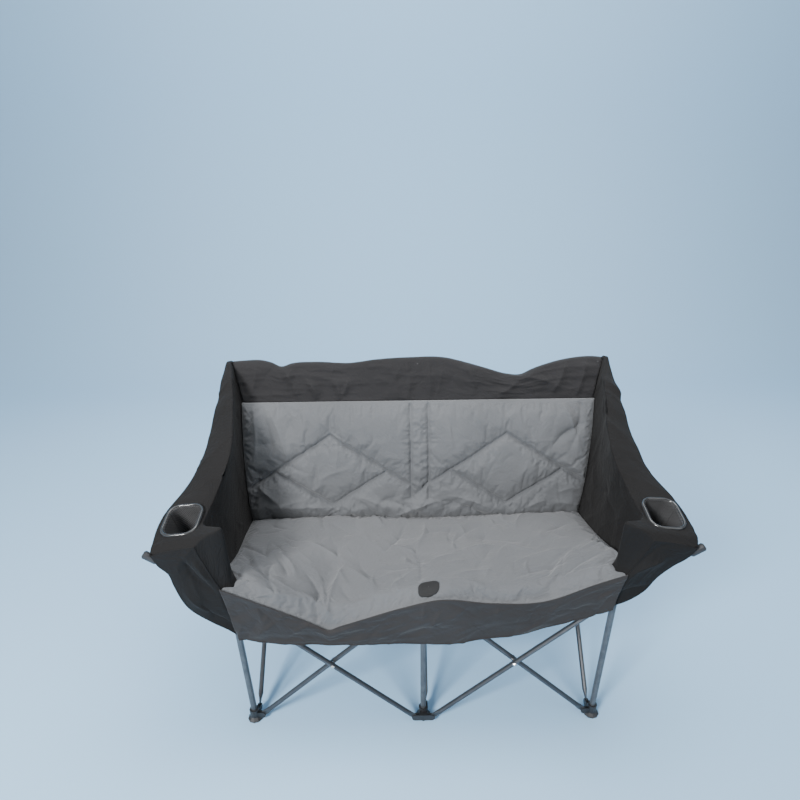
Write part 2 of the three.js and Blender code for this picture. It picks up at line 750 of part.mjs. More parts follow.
function seatFrontZ(x) {
  const share = Math.min(Math.abs(x) / BAY, 1);
  const sag = x < 0 ? SEAT_LEFT_SAG : SEAT_RIGHT_SAG;
  return lerp(SEAT_CENTRE_Z, SEAT_CORNER_Z, share) - sag * Math.sin(Math.PI * share) ** 2;
}

function seatZ(x, y) {
  const forward = (SEAT_REAR_Y - y) / (SEAT_REAR_Y - SEAT_FRONT_Y);
  const roll = SEAT_ROLL * smoothstep(SEAT_FRONT_Y + SEAT_ROLL_DEPTH - y, 0, SEAT_ROLL_DEPTH) ** 2;
  return lerp(SEAT_REAR_Z, seatFrontZ(x), forward) - SEAT_DISH * Math.sin(Math.PI * forward) - roll;
}

const SEAT_STATIONS = [0, 0.05, 0.11, 0.17, 0.24, 0.34, 0.46, 0.58, 0.7, 0.82, 0.92, 1];
const SEAT_COLUMNS = 20;

function seatPad() {
  const rows = SEAT_STATIONS.map((share) => {
    const y = lerp(SEAT_FRONT_Y, SEAT_REAR_Y, share);
    return Array.from({ length: SEAT_COLUMNS + 1 }, (_, j) => {
      const x = (2 * j / SEAT_COLUMNS - 1) * seatHalfWidth(y);
      return new THREE.Vector3(x, y, seatZ(x, y) - SEAT_PAD_EDGE / 2);
    });
  });
  const puff = (i, j) => {
    const across = Math.min(j, SEAT_COLUMNS - j) / 2;
    const along = Math.min(i, SEAT_STATIONS.length - 1 - i) / 2;
    const crown = Math.min(1, across) * Math.min(1, along);
    const middle = j === SEAT_COLUMNS / 2 ? 0.75 : 1;
    return lerp(SEAT_PAD_EDGE, SEAT_PAD * middle, Math.sqrt(crown));
  };
  return sheet(rows, puff, () => new THREE.Vector3(0, 0, 1));
}

// Back pad: upright sheet in front of the rear posts, quilted with a diamond in each half
function rearPostY(z) {
  return BAY + Math.max(0, z - REAR_BEND_Z) * (REAR_TOP_LEAN / REAR_TOP_RISE);
}

function backY(z) {
  const low = SEAT_REAR_Y + SEAM_GAP + BACK_PAD_EDGE;
  const limit = (height) => rearPostY(height) - REAR_POST_HALF - SEAM_GAP;
  const share = (z - backBottomZ()) / (BACK_TOP_Z - backBottomZ());
  return Math.min(lerp(low, limit(BACK_TOP_Z), share ** BACK_CURVE), limit(z));
}

function backBottomZ() {
  return SEAT_REAR_Z + SEAT_PAD_EDGE / 2 + SEAM_GAP;
}

function backHalfWidth(z) {
  const share = (z - backBottomZ()) / (BACK_TOP_Z - backBottomZ());
  return lerp(BAY + SEAT_OVERHANG, BAY + BACK_TOP_OVERHANG, share);
}

// How deep the sewn lines press in at a place, in steps of the quilting grid
function quilting(column, row) {
  const across = Math.abs(Math.abs(column) - DIAMOND_COLUMN);
  const roof = Math.abs(DIAMOND_REACH - across - row) / Math.SQRT2;
  const belly = across <= DIAMOND_REACH ? Math.abs(DIAMOND_REACH - across + row) / Math.SQRT2 : Infinity;
  const roofLine = row <= DIAMOND_REACH ? roof : Infinity;
  const seam = Math.abs(Math.abs(column) - CENTRE_SEAM_COLUMN);
  const nearest = Math.min(roofLine, belly, seam) * QUILT_STEP_Z;
  return QUILT_DEPTH * Math.exp(-((nearest / QUILT_SPREAD) ** 2));
}

function backPad() {
  const columns = [];
  for (let k = -QUILT_COLUMNS; k <= QUILT_COLUMNS; k += 1) {
    if (k === 0) columns.push(-CENTRE_SEAM_COLUMN, CENTRE_SEAM_COLUMN);
    else columns.push(k);
  }
  const heights = [];
  const rowsBelow = Math.ceil((DIAMOND_Z - backBottomZ()) / QUILT_STEP_Z) - 1;
  const rowsAbove = Math.ceil((BACK_TOP_Z - DIAMOND_Z) / QUILT_STEP_Z) - 1;
  heights.push(backBottomZ());
  for (let k = -rowsBelow; k <= rowsAbove; k += 1) heights.push(DIAMOND_Z + k * QUILT_STEP_Z);
  heights.push(BACK_TOP_Z);
  const rows = heights.map((z) => columns.map((column) => {
    const x = (column / QUILT_COLUMNS) * backHalfWidth(z);
    return new THREE.Vector3(x, backY(z), z);
  }));
  const puff = (i, j) => {
    const rim = i === 0 || i === rows.length - 1 || j === 0 || j === columns.length - 1;
    const full = BACK_PAD - quilting(columns[j], (heights[i] - DIAMOND_Z) / QUILT_STEP_Z);
    return rim ? BACK_PAD_EDGE : full;
  };
  return sheet(rows, puff, () => new THREE.Vector3(0, -1, 0));
}

// Top border: the black band that is pulled over the tops of the rear posts
const BORDER_COLUMNS = 16;
const BORDER_ROWS = 4;

function borderHalfWidth() {
  return BAY + REAR_TOP_FLARE + BORDER_SIDE;
}

function borderTopZ(x) {
  const share = Math.abs(x) / borderHalfWidth();
  const crest = REAR_BEND_Z + REAR_TOP_RISE + CAP_HEIGHT + BORDER_COVER;
  return crest - BORDER_DIP * Math.sin(Math.PI * share ** 1.3) ** 2;
}

function topBorder() {
  const bottom = BACK_TOP_Z + SEAM_GAP;
  const rows = Array.from({ length: BORDER_ROWS + 1 }, (_, i) => {
    return Array.from({ length: BORDER_COLUMNS + 1 }, (_, j) => {
      const spread = 2 * j / BORDER_COLUMNS - 1;
      const top = borderTopZ(spread * borderHalfWidth());
      const z = lerp(bottom, top, i / BORDER_ROWS);
      const x = spread * lerp(backHalfWidth(BACK_TOP_Z), borderHalfWidth(), i / BORDER_ROWS);
      const rim = i === BORDER_ROWS || j === 0 || j === BORDER_COLUMNS;
      return new THREE.Vector3(x, rearPostY(z) + (rim ? BORDER_EDGE : BORDER_THICKNESS) / 2, z);
    });
  });
  const puff = (i, j) => 2 * (rows[i][j].y - rearPostY(rows[i][j].z));
  const band = solid(sheet(rows, puff, () => new THREE.Vector3(0, -1, 0)));
  const pockets = Object.values(COLUMNS).map((side) => {
    const radius = CAP_D / 2 + SEAM_GAP;
    const direction = rearTopDirection(side);
    const top = rearPostTop(side).add(new THREE.Vector3(side * BAY, BAY, 0));
    const reach = (top.z - bottom) / direction.z + POST_D;
    const height = CAP_HEIGHT + SEAM_GAP;
    const pocket = turned([[0, -reach], [radius, -reach], [radius, height], [0, height]]);
    const turn = new THREE.Quaternion().setFromUnitVectors(new THREE.Vector3(0, 0, 1), direction);
    return solid(pocket.applyQuaternion(turn).translate(top.x, top.y, top.z));
  });
  return geometryOf(cut(band, pockets));
}

// Front valance: hangs from the seat's front edge, with shallow folds
const VALANCE_COLUMNS = 28;
const VALANCE_ROWS = 2;

function valanceHemZ(x) {
  const share = Math.abs(x) / BAY;
  const rise = x < 0 ? VALANCE_LEFT_RISE * share ** 5 : VALANCE_RIGHT_RISE * share ** 2.3;
  return VALANCE_CENTRE_Z + rise;
}

function frontValance() {
  const halfWidth = seatHalfWidth(SEAT_FRONT_Y);
  const rows = Array.from({ length: VALANCE_ROWS + 1 }, (_, i) => {
    return Array.from({ length: VALANCE_COLUMNS + 1 }, (_, j) => {
      const x = (2 * j / VALANCE_COLUMNS - 1) * halfWidth;
      const down = i / VALANCE_ROWS;
      const top = seatZ(x, SEAT_FRONT_Y) + SEAT_PAD_EDGE / 2;
      const fold = VALANCE_WAVE * down * (1 + Math.sin(Math.PI * VALANCE_WAVES * x / halfWidth));
      return new THREE.Vector3(x, SEAT_FRONT_Y - SEAM_GAP - fold, lerp(top, valanceHemZ(x), down));
    });
  });
  return sheet(rows, () => CLOTH, () => new THREE.Vector3(0, -1, 0));
}

// Side wings: a cloth skin lofted from the seat's side edge over the armrest and down to a hem
function wingSeam(share) {
  const y = lerp(SEAT_FRONT_Y, SEAT_REAR_Y, share);
  const x = seatHalfWidth(y);
  return new THREE.Vector3(x + SEAM_GAP, y, seatZ(x, y) + SEAT_PAD_EDGE / 2);
}

// Guide curves run from the top of the back to the arm tip
function wingGuides() {
  const frontX = seatHalfWidth(SEAT_FRONT_Y) + SEAM_GAP;
  const topY = rearPostY(REAR_BEND_Z + REAR_TOP_RISE);
  const topZ = borderTopZ(borderHalfWidth()) - CLOTH;
  const side = borderHalfWidth() + SEAM_GAP + CLOTH;
  const curve = (points) => {
    const places = points.map((p) => new THREE.Vector3(...p));
    return new THREE.CatmullRomCurve3(places, false, 'chordal');
  };
  return {
    rimInner: curve([
      [side, topY - BORDER_EDGE, topZ],
      [BAY + 46, topY * 0.68, lerp(ARM_INNER_Z, topZ, 0.72)],
      [BAY + 22, topY * 0.36, lerp(ARM_INNER_Z, topZ, 0.34)],
      [frontX, POST_SLEEVE_END + SEAT_FLARE / 2, ARM_INNER_Z + 4],
      [frontX, SEAT_FRONT_Y, ARM_INNER_Z],
    ]),
    rimOuter: curve([
      [side + 16, topY + CLOTH, topZ],
      [WING_MID_X + 2, topY * 0.68, lerp(ARM_OUTER_Z, topZ, 0.66)],
      [WING_MID_X + 8, topY * 0.38, lerp(ARM_OUTER_Z, topZ, 0.32)],
      [ARM_OUTER_X - 6, CUP_Y, lerp(ARM_OUTER_Z, topZ, 0.07)],
      [ARM_OUTER_X - ARM_TIP_SETBACK / 2, SEAT_FRONT_Y, ARM_OUTER_Z - 4],
    ]),
    hem: curve([
      [SKIRT_X - 6, BAY - 20, SKIRT_Z + 40],
      [SKIRT_X, BAY * 0.6, SKIRT_Z],
      [SKIRT_X + 4, BAY * 0.3, SKIRT_Z],
      [SKIRT_X + 2, BAY * 0.08, SKIRT_Z],
      [SKIRT_X - 4, SEAT_FRONT_Y, SKIRT_Z],
    ]),
  };
}

function wingRows({ rimInner, rimOuter, hem }) {
  const blend = (from, to, share, bow) => from.clone().lerp(to, share).add(new THREE.Vector3(bow, 0, 0));
  return SEAT_STATIONS.map((share) => {
    const a = wingSeam(share);
    const [b, c, d] = [rimInner, rimOuter, hem].map((guide) => guide.getPoint(1 - share));
    return [
      a, blend(a, b, 0.35, 4), blend(a, b, 0.7, 4), b,
      blend(b, c, 0.5, 0), c, blend(c, d, 0.35, 6), blend(c, d, 0.7, 6), d,
    ];
  });
}

function normalAt(rows, i, j) {
  const clamp = (value, top) => Math.min(Math.max(value, 0), top);
  const point = (a, b) => rows[clamp(a, rows.length - 1)][clamp(b, rows[0].length - 1)];
  const along = point(i + 1, j).clone().sub(point(i - 1, j));
  const across = point(i, j + 1).clone().sub(point(i, j - 1));
  return along.cross(across).normalize();
}

// The front gusset closes the wing below the armrest; the bare arm support passes out beside it
function gusset() {
  const inner = seatHalfWidth(SEAT_FRONT_Y) + SEAM_GAP;
  const valanceEnd = valanceHemZ(-BAY) + 8;
  const outline = new THREE.Shape();
  outline.moveTo(inner, seatZ(inner, SEAT_FRONT_Y));
  outline.lineTo(inner, ARM_INNER_Z);
  outline.lineTo(ARM_OUTER_X - ARM_TIP_SETBACK / 2, ARM_OUTER_Z - 4);
  outline.quadraticCurveTo(SKIRT_X + 26, ARM_OUTER_Z - 44, SKIRT_X + 12, lerp(SKIRT_Z, ARM_OUTER_Z, 0.45));
  outline.quadraticCurveTo(SKIRT_X + 2, SKIRT_Z + 10, inner + 30, valanceEnd);
  outline.lineTo(inner, valanceEnd);
  outline.closePath();
  return new THREE.ExtrudeGeometry(outline, { depth: CLOTH, bevelEnabled: false, curveSegments: 5 })
    .rotateX(Math.PI / 2)
    .translate(0, SEAT_FRONT_Y + CLOTH / 2, 0);
}

// Places a cup holder on the armrest: across, along and up follow the armrest's slope there
function cupPlace(guides) {
  const [inner, outer] = [guides.rimInner, guides.rimOuter].map((curve) => {
    const samples = curve.getPoints(200);
    return (y) => samples.reduce((best, p) => (Math.abs(p.y - y) < Math.abs(best.y - y) ? p : best));
  });
  const across = outer(CUP_Y).clone().sub(inner(CUP_Y)).setY(0).normalize();
  const reach = CUP_RING_LENGTH / 2;
  const slope = (curve) => curve(CUP_Y + reach).clone().sub(curve(CUP_Y - reach));
  const rise = (slope(inner).z + slope(outer).z) / (slope(inner).y + slope(outer).y);
  const along = new THREE.Vector3(0, 1, rise);
  along.addScaledVector(across, -along.dot(across)).normalize();
  const up = across.clone().cross(along);
  const centre = outer(CUP_Y).clone().addScaledVector(across, -CUP_FROM_RIM);
  centre.addScaledVector(up, SEAM_GAP);
  return new THREE.Matrix4().makeBasis(across, along, up).setPosition(centre);
}

function cupRing() {
  const inside = (value) => value - 2 * CUP_RING_BAND;
  const shape = roundedRectangle(CUP_RING_WIDTH, CUP_RING_LENGTH, CUP_RING_CORNER);
  const corner = CUP_RING_CORNER - CUP_RING_BAND;
  shape.holes.push(roundedRectangle(inside(CUP_RING_WIDTH), inside(CUP_RING_LENGTH), corner, THREE.Path));
  const extrusion = { depth: CUP_RING_HEIGHT, bevelEnabled: false, curveSegments: 3 };
  return new THREE.ExtrudeGeometry(shape, extrusion);
}

// The pocket's sections shrink downwards; a margin grows it for cutting its opening
function cupSections(margin, top, wall) {
  const width = CUP_RING_WIDTH / 2 - CUP_RING_BAND - SEAM_GAP + margin - wall;
  const length = CUP_RING_LENGTH / 2 - CUP_RING_BAND - SEAM_GAP + margin - wall;
  const floor = -CUP_DEPTH + wall - margin;
  const levels = [[floor, CUP_TAPER], [0, 1], [top, 1]];
  return skinned(levels.map(([z, scale]) => Array.from({ length: TURN_SIDES }, (_, k) => {
    const angle = (2 * Math.PI * (k + 0.5)) / TURN_SIDES;
    const squarish = (value) => Math.sign(value) * Math.abs(value) ** 0.75;
    return new THREE.Vector3(
      width * scale * squarish(Math.cos(angle)),
      length * scale * squarish(Math.sin(angle)),
      z,
    );
  })));
}

function cupPocket() {
  const rim = CUP_RING_HEIGHT - 1;
  const outside = solid(cupSections(0, rim, 0));
  const inside = solid(cupSections(0, rim + 2, CUP_WALL));
  return geometryOf(cut(outside, [inside]));
}

// The way of the arm support's end through the cloth
function armRoom() {
  const { tip } = armPath();
  const radius = ARM_CAP_D / 2 + SEAM_GAP;
  const [from, to] = [-ARM_END, ARM_CAP_LENGTH];
  return turned([[0, from], [radius, from], [radius, to], [0, to]])
    .rotateY(ARM_BEND)
    .translate(tip.x, 0, tip.y)
    .rotateY(BRACE_SPREAD)
    .translate(PIVOT_REACH, -OUTER_BRACE_OFFSET, FOOT_PIVOT_Z);
}

function wing(guides, place) {
  const rows = wingRows(guides);
  const skin = solid(sheet(rows, () => CLOTH, (i, j) => normalAt(rows, i, j)));
  const ringOutline = roundedRectangle(CUP_RING_WIDTH + 2, CUP_RING_LENGTH + 2, CUP_RING_CORNER);
  const extrusion = { depth: 40, bevelEnabled: false, curveSegments: 3 };
  const ringRoom = new THREE.ExtrudeGeometry(ringOutline, extrusion)
    .translate(0, 0, -SEAM_GAP)
    .applyMatrix4(place);
  const pocketRoom = cupSections(SEAM_GAP, 40, 0).applyMatrix4(place);
  const rooms = [ringRoom, pocketRoom, armRoom()].map(solid);
  return geometryOf(cut(skin.add(solid(gusset())), rooms));
}

// The right half is modelled; the left half is its mirror image
function sided(geometry, side) {
  if (side > 0) return geometry;
  const copy = geometry.clone().scale(-1, 1, 1);
  copy.index.array.reverse();
  copy.computeVertexNormals();
  return copy;
}

function wings() {
  const group = new THREE.Group();
  const guides = wingGuides();
  const place = cupPlace(guides);
  for (const column of ['left', 'right']) {
    const side = COLUMNS[column];
    const atPlace = (geometry) => sided(indexed(geometry).applyMatrix4(place), side);
    group.add(named(`wing_${column}`, sided(wing(guides, place), side), 'blackCloth'));
    group.add(named(`cup_ring_${column}`, atPlace(cupRing()), 'ring'));
    group.add(named(`cup_pocket_${column}`, atPlace(cupPocket()), 'mesh'));
  }
  return group;
}

function indexed(geometry) {
  const bare = geometry.clone();
  bare.deleteAttribute('normal');
  bare.deleteAttribute('uv');
  return mergeVertices(bare, 1e-4);
}

// Rubber patch: a small plate whose underside follows the seat pad
function seatPatch() {
  const shape = roundedRectangle(PATCH_WIDTH, PATCH_LENGTH, PATCH_CORNER);
  const depth = PATCH_HEIGHT + SEAT_PAD / 2;
  const reach = PATCH_LENGTH / 2;
  const [low, high] = [PATCH_Y - reach, PATCH_Y + reach].map((y) => seatZ(PATCH_X, y));
  const top = seatZ(PATCH_X, PATCH_Y) + SEAT_PAD - SEAT_PAD_EDGE / 2 + PATCH_HEIGHT;
  const plate = new THREE.ExtrudeGeometry(shape, { depth, bevelEnabled: false, curveSegments: 3 })
    .translate(0, 0, -depth)
    .rotateX(Math.atan2(high - low, PATCH_LENGTH))
    .translate(PATCH_X, PATCH_Y, top);
  return geometryOf(cut(solid(plate), [solid(seatPad().translate(0, 0, SEAM_GAP))]));
}

function fabricBody() {
  const group = new THREE.Group();
  group.add(named('seat_pad', seatPad(), 'greyCloth'));
  group.add(named('back_pad', backPad(), 'greyCloth'));
  group.add(named('top_border', topBorder(), 'blackCloth'));
  group.add(named('front_valance', frontValance(), 'blackCloth'));
  group.add(named('seat_patch', seatPatch(), 'rubber'));
  group.add(wings());
  return group;
}

const chair = new THREE.Group();
chair.add(uprights(), rowPairs(), sidePairs(), armCaps(), fabricBody());

// The origin is under the middle of the whole chair
const reach = new THREE.Box3().setFromObject(chair, true);
chair.position.y = -(reach.min.y + reach.max.y) / 2;

export default chair;
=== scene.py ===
"""Folding camp loveseat: cloth, padding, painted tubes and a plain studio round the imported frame."""
import logging
import math
from dataclasses import dataclass
from enum import Enum
from typing import Any, Iterable, Sequence

import bpy
import numpy as np
from mathutils import Matrix, Vector


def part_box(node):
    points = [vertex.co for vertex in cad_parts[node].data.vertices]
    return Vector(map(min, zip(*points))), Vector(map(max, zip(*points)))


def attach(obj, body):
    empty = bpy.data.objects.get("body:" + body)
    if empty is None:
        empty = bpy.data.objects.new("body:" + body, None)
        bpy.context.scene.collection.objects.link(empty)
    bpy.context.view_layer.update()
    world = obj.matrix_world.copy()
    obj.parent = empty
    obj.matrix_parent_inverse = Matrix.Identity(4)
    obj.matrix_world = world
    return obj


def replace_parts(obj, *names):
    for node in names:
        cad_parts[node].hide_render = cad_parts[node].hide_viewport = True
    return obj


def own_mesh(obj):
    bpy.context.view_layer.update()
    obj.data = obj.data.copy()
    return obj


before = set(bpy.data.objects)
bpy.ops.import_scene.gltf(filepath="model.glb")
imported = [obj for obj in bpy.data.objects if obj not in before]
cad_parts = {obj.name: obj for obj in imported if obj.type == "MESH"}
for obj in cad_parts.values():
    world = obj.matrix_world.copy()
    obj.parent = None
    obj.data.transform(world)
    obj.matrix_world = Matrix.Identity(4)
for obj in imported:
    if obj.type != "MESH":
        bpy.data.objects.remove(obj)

LOG = logging.getLogger("loveseat")
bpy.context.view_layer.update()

Values = float | np.ndarray
Span = tuple[float, float]
Triple = tuple[float, float, float]
Thing = bpy.types.Object
Socket = bpy.types.NodeSocket


# Places shared by the pieces, in metres

def row_place(node: str) -> float:
    """Returns the middle of a node's box along Y."""
    low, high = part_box(node)
    return (low[1] + high[1]) / 2


FRONT_ROW = row_place("post_front_centre")
BAY = 0.466
SEAT_FRONT, SEAT_REAR = -0.032, 0.400
SEAM = 0.0004
TINY = 1e-9


class Side(Enum):
    """Left and right halves, as seen from the front."""

    LEFT = -1
    RIGHT = 1

    @property
    def word(self) -> str:
        """The side's word as the frame's names use it."""
        return self.name.lower()

    @property
    def index(self) -> int:
        """The side's place in a pair of left and right values."""
        return 0 if self is Side.LEFT else 1


# Arithmetic on grids of points

def lerp(a: Values, b: Values, share: Values) -> Values:
    """Returns the value a share of the way from a to b."""
    return a + (b - a) * share


def smooth(low: float, high: float, value: Values) -> np.ndarray:
    """Returns 0 below low, 1 above high and an even curve between."""
    share = np.clip((np.asarray(value, float) - low) / (high - low), 0.0, 1.0)
    return share * share * (3 - 2 * share)


def arch(share: Values) -> Values:
    """Returns 0 at both ends of a run from 0 to 1, and 1 at its middle."""
    return 4 * share * (1 - share)


def bulged(start: np.ndarray, end: np.ndarray, run: np.ndarray, bulge: Triple) -> np.ndarray:
    """Returns points from one place to another, bulged out between them.

    Args:
        start: first place.
        end: last place.
        run: shares of the way.
        bulge: how far the middle is moved along each axis.

    Returns:
        The points.
    """
    return lerp(start, end, run[:, None]) + np.outer(arch(run), bulge)


class Rumple:
    """Seeded two-way noise that bends cloth the same way at each run."""

    period: int = 64
    octaves: int = 3
    sharpness: float = 0.7

    def __init__(self, seed: int) -> None:
        """Draws the lattice from a seed that fixes the pattern."""
        self.lattice = np.random.RandomState(seed).uniform(-1, 1, (self.period, self.period))

    def knot(self, u: np.ndarray, v: np.ndarray) -> np.ndarray:
        """Returns the lattice's values at whole numbers, repeated without end."""
        return self.lattice[u % self.period, v % self.period]

    def level(self, u: Values, v: Values) -> np.ndarray:
        """Returns smooth noise from -1 to 1.

        Args:
            u: first coordinate of the places, in steps of the lattice.
            v: second coordinate of the places.

        Returns:
            The noise at each place.
        """
        u, v = np.broadcast_arrays(np.asarray(u, float), np.asarray(v, float))
        iu, iv = np.floor(u).astype(int), np.floor(v).astype(int)
        su, sv = smooth(0, 1, u - iu), smooth(0, 1, v - iv)
        low = lerp(self.knot(iu, iv), self.knot(iu + 1, iv), su)
        high = lerp(self.knot(iu, iv + 1), self.knot(iu + 1, iv + 1), su)
        return lerp(low, high, sv)

    def folds(self, u: Values, v: Values) -> np.ndarray:
        """Returns layered noise whose finer layers are weaker."""
        return sum(self.level(u * 2 ** k, v * 2 ** k) / 2 ** k for k in range(self.octaves))

    def ridges(self, u: Values, v: Values) -> np.ndarray:
        """Returns noise with sharp ridges."""
        return 1 - 2 * np.abs(self.level(u, v)) ** self.sharpness

    def creases(self, u: Values, v: Values) -> np.ndarray:
        """Returns two layers of ridges, as in cloth that has been packed away."""
        return self.ridges(u, v) + 0.5 * self.ridges(2.1 * u + 9, 2.1 * v)


@dataclass(frozen=True)
class Slack:
    """Unevenness of loose cloth: sharp ridges that run one way, and soft folds over them.

    Each run holds how fast its two noise coordinates grow along the cloth's first and second coordinate.
    """

    seed: int
    ridge_run: tuple[Span, Span]
    ridge: float
    fold_run: tuple[Span, Span]
    fold: float

    def over(self, u: Values, v: Values, ridge: Values | None = None) -> np.ndarray:
        """Returns the cloth's unevenness.

        Args:
            u: first coordinate of the places.
            v: second coordinate of the places.
            ridge: height of the ridges at each place, where it isn't the same all over.

        Returns:
            The heights.
        """
        rumple = Rumple(self.seed)
        ridges = rumple.creases(*(a * u + b * v for a, b in self.ridge_run))
        folds = rumple.folds(*(a * u + b * v for a, b in self.fold_run))
        return ridges * (self.ridge if ridge is None else ridge) + folds * self.fold


@dataclass(frozen=True)
class Crease:
    """One fold in cloth, from a start to an end, raised or sunk."""

    start: Span
    end: Span
    height: float
    width: float
    bow: float = 0.06

    def lift(self, x: Values, y: Values) -> np.ndarray:
        """Returns the fold's height over places x and y.

        Args:
            x: first coordinate of the places.
            y: second coordinate of the places.

        Returns:
            Heights that fade out past the fold's ends and to both sides.
        """
        (ax, ay), (bx, by) = self.start, self.end
        length = math.hypot(bx - ax, by - ay)
        ux, uy = (bx - ax) / length, (by - ay) / length
        along = ((x - (ax + bx) / 2) * ux + (y - (ay + by) / 2) * uy) / (length / 2)
        across = (y - ay) * ux - (x - ax) * uy - self.bow * length * (1 - along ** 2)
        return self.height * np.exp(-np.abs(along) ** 3) * np.exp(-np.abs(across) / self.width)


def crease_set(*rows: tuple[float, float, float, float, float, float]) -> tuple[Crease, ...]:
    """Returns folds from rows of start, end, height and width."""
    return tuple(Crease((ax, ay), (bx, by), height, width) for ax, ay, bx, by, height, width in rows)


@dataclass(frozen=True)
class Scatter:
    """Short folds strewn over an area, near one angle in radians."""

    seed: int
    count: int
    x: Span
    y: Span
    lean: float
    height: float
    spread: float = 0.6
    reach: Span = (0.018, 0.055)
    rise: Span = (0.25, 1.0)
    width: Span = (0.004, 0.011)

    def creases(self) -> list[Crease]:
        """Draws the folds.

        Returns:
            The folds, each raised or sunk by chance.
        """
        draw = np.random.RandomState(self.seed)
        made = []
        for _ in range(self.count):
            place = np.array([draw.uniform(*self.x), draw.uniform(*self.y)])
            angle = self.lean + draw.normal(0, self.spread)
            reach = draw.uniform(*self.reach) * np.array([math.cos(angle), math.sin(angle)])
            rise = draw.uniform(*self.rise) * self.height * draw.choice([-1, 1])
            made.append(Crease(tuple(place - reach), tuple(place + reach), rise, draw.uniform(*self.width)))
        return made


def lifted(creases: Iterable[Crease], scatters: Iterable[Scatter], x: Values, y: Values) -> np.ndarray:
    """Returns the height of chosen and strewn folds together.

    Args:
        creases: chosen folds.
        scatters: areas of strewn folds.
        x: first coordinate of the places.
        y: second coordinate of the places.

    Returns:
        The height at each place.
    """
    every = [*creases, *(crease for scatter in scatters for crease in scatter.creases())]
    return sum(crease.lift(x, y) for crease in every)


def refined(grid: np.ndarray, times: int = 2) -> np.ndarray:
    """Returns a grid with more points, on smooth curves through the old ones.

    Args:
        grid: points, rows by columns.
        times: new steps for each old step.

    Returns:
        The finer grid.
    """
    for axis in (0, 1):
        count = grid.shape[axis]
        at = np.arange((count - 1) * times + 1) / times
        k = np.minimum(at.astype(int), count - 2)
        shape = [1] * grid.ndim
        shape[axis] = len(at)
        w = (at - k).reshape(shape)
        a, b, c, d = (np.take(grid, np.clip(k + step, 0, count - 1), axis=axis) for step in (-1, 0, 1, 2))
        grid = b + 0.5 * w * (c - a + w * (2 * a - 5 * b + 4 * c - d + w * (3 * (b - c) + d - a)))
    return grid


def rim_distance(grid: np.ndarray) -> np.ndarray:
    """Returns each point's distance to the points at the ends of its row and column.

    Args:
        grid: points, rows by columns.

    Returns:
        The least of the four distances.
    """
    ends = (grid[:, :1], grid[:, -1:], grid[:1], grid[-1:])
    return np.minimum.reduce([np.linalg.norm(grid - end, axis=2) for end in ends])


def normals_of(grid: np.ndarray) -> np.ndarray:
    """Returns the unit normals of a grid.

    Args:
        grid: points, rows by columns.

    Returns:
        One normal for each point.
    """
    out = np.cross(np.gradient(grid, axis=1), np.gradient(grid, axis=0))
    return out / np.maximum(np.linalg.norm(out, axis=2, keepdims=True), TINY)


def lengths_of(grid: np.ndarray) -> np.ndarray:
    """Returns how far each point lies along its row and down its column.

    Args:
        grid: points, rows by columns.

    Returns:
        The two lengths for each point, in metres.
    """
    runs = []
    for axis, pad in ((1, ((0, 0), (1, 0))), (0, ((1, 0), (0, 0)))):
        step = np.linalg.norm(np.diff(grid, axis=axis), axis=2)
        runs.append(np.cumsum(np.pad(step, pad), axis=axis))
    return np.dstack(runs)


class GuideCurve:
    """Smooth curve through points, as a function of 0 to 1."""

    def __init__(self, points: Sequence[Sequence[float]]) -> None:
        """Keeps the points, with one more past each end."""
        p = [np.array(point, float) for point in points]
        self.points = [2 * p[0] - p[1], *p, 2 * p[-1] - p[-2]]

    def __call__(self, share: float) -> np.ndarray:
        """Returns the place at a share of the way.

        Args:
            share: 0 at the first point and 1 at the last.

        Returns:
            The place.
        """
        p = self.points
        scaled = min(max(share, 0.0), 1.0) * (len(p) - 3)
        k = min(int(scaled), len(p) - 4)
        w = scaled - k
        a, b, c, d = p[k:k + 4]
        d0, d1, d2 = (np.linalg.norm(y - x) for x, y in ((a, b), (b, c), (c, d)))
        t1 = ((b - a) / d0 - (c - a) / (d0 + d1) + (c - b) / d1) * d1
        t2 = ((c - b) / d1 - (d - b) / (d1 + d2) + (d - c) / d2) * d1
        return b + t1 * w + (-3 * b + 3 * c - 2 * t1 - t2) * w ** 2 + (2 * b - 2 * c + t1 + t2) * w ** 3


class Profile:
    """Smooth line of height over width through points, from left to right."""

    samples: int = 300

    def __init__(self, points: Sequence[Span], lower: float = 0.0) -> None:
        """Samples the line, lowered by a distance."""
        curve = GuideCurve([(x, z - lower, 0) for x, z in points])
        self.line = np.array([curve(share) for share in np.linspace(0, 1, self.samples)])

    def __call__(self, x: Values) -> np.ndarray:
        """Returns the height at a width."""
        return np.interp(x, self.line[:, 0], self.line[:, 1])


def rounded_outline(width: float, length: float, corner: float, count: int) -> np.ndarray:
    """Returns points round a rectangle with rounded corners.

    Args:
        width: size along the first axis.
        length: size along the second axis.
        corner: radius of the corners.
        count: number of points.

    Returns:
        The points, going round once.
    """
    arcs = []
    for k, (sx, sy) in enumerate(((1, 1), (-1, 1), (-1, -1), (1, -1))):
        turn = np.linspace(0, math.pi / 2, 13) + k * math.pi / 2
        middle = np.array([sx * (width / 2 - corner), sy * (length / 2 - corner)])
        arcs.append(middle + corner * np.stack([np.cos(turn), np.sin(turn)], axis=1))
    line = np.concatenate(arcs + [arcs[0][:1]])
    run = np.concatenate([[0], np.cumsum(np.linalg.norm(np.diff(line, axis=0), axis=1))])
    at = np.linspace(0, run[-1], count, endpoint=False)
    return np.stack([np.interp(at, run, line[:, 0]), np.interp(at, run, line[:, 1])], axis=1)


def closed_ring(outline: np.ndarray, z: float) -> np.ndarray:
    """Returns an outline's points at a height, with the first one again at the end."""
    around = np.concatenate([outline, outline[:1]])
    return np.column_stack([around, np.full(len(around), z)])


# Meshes from grids

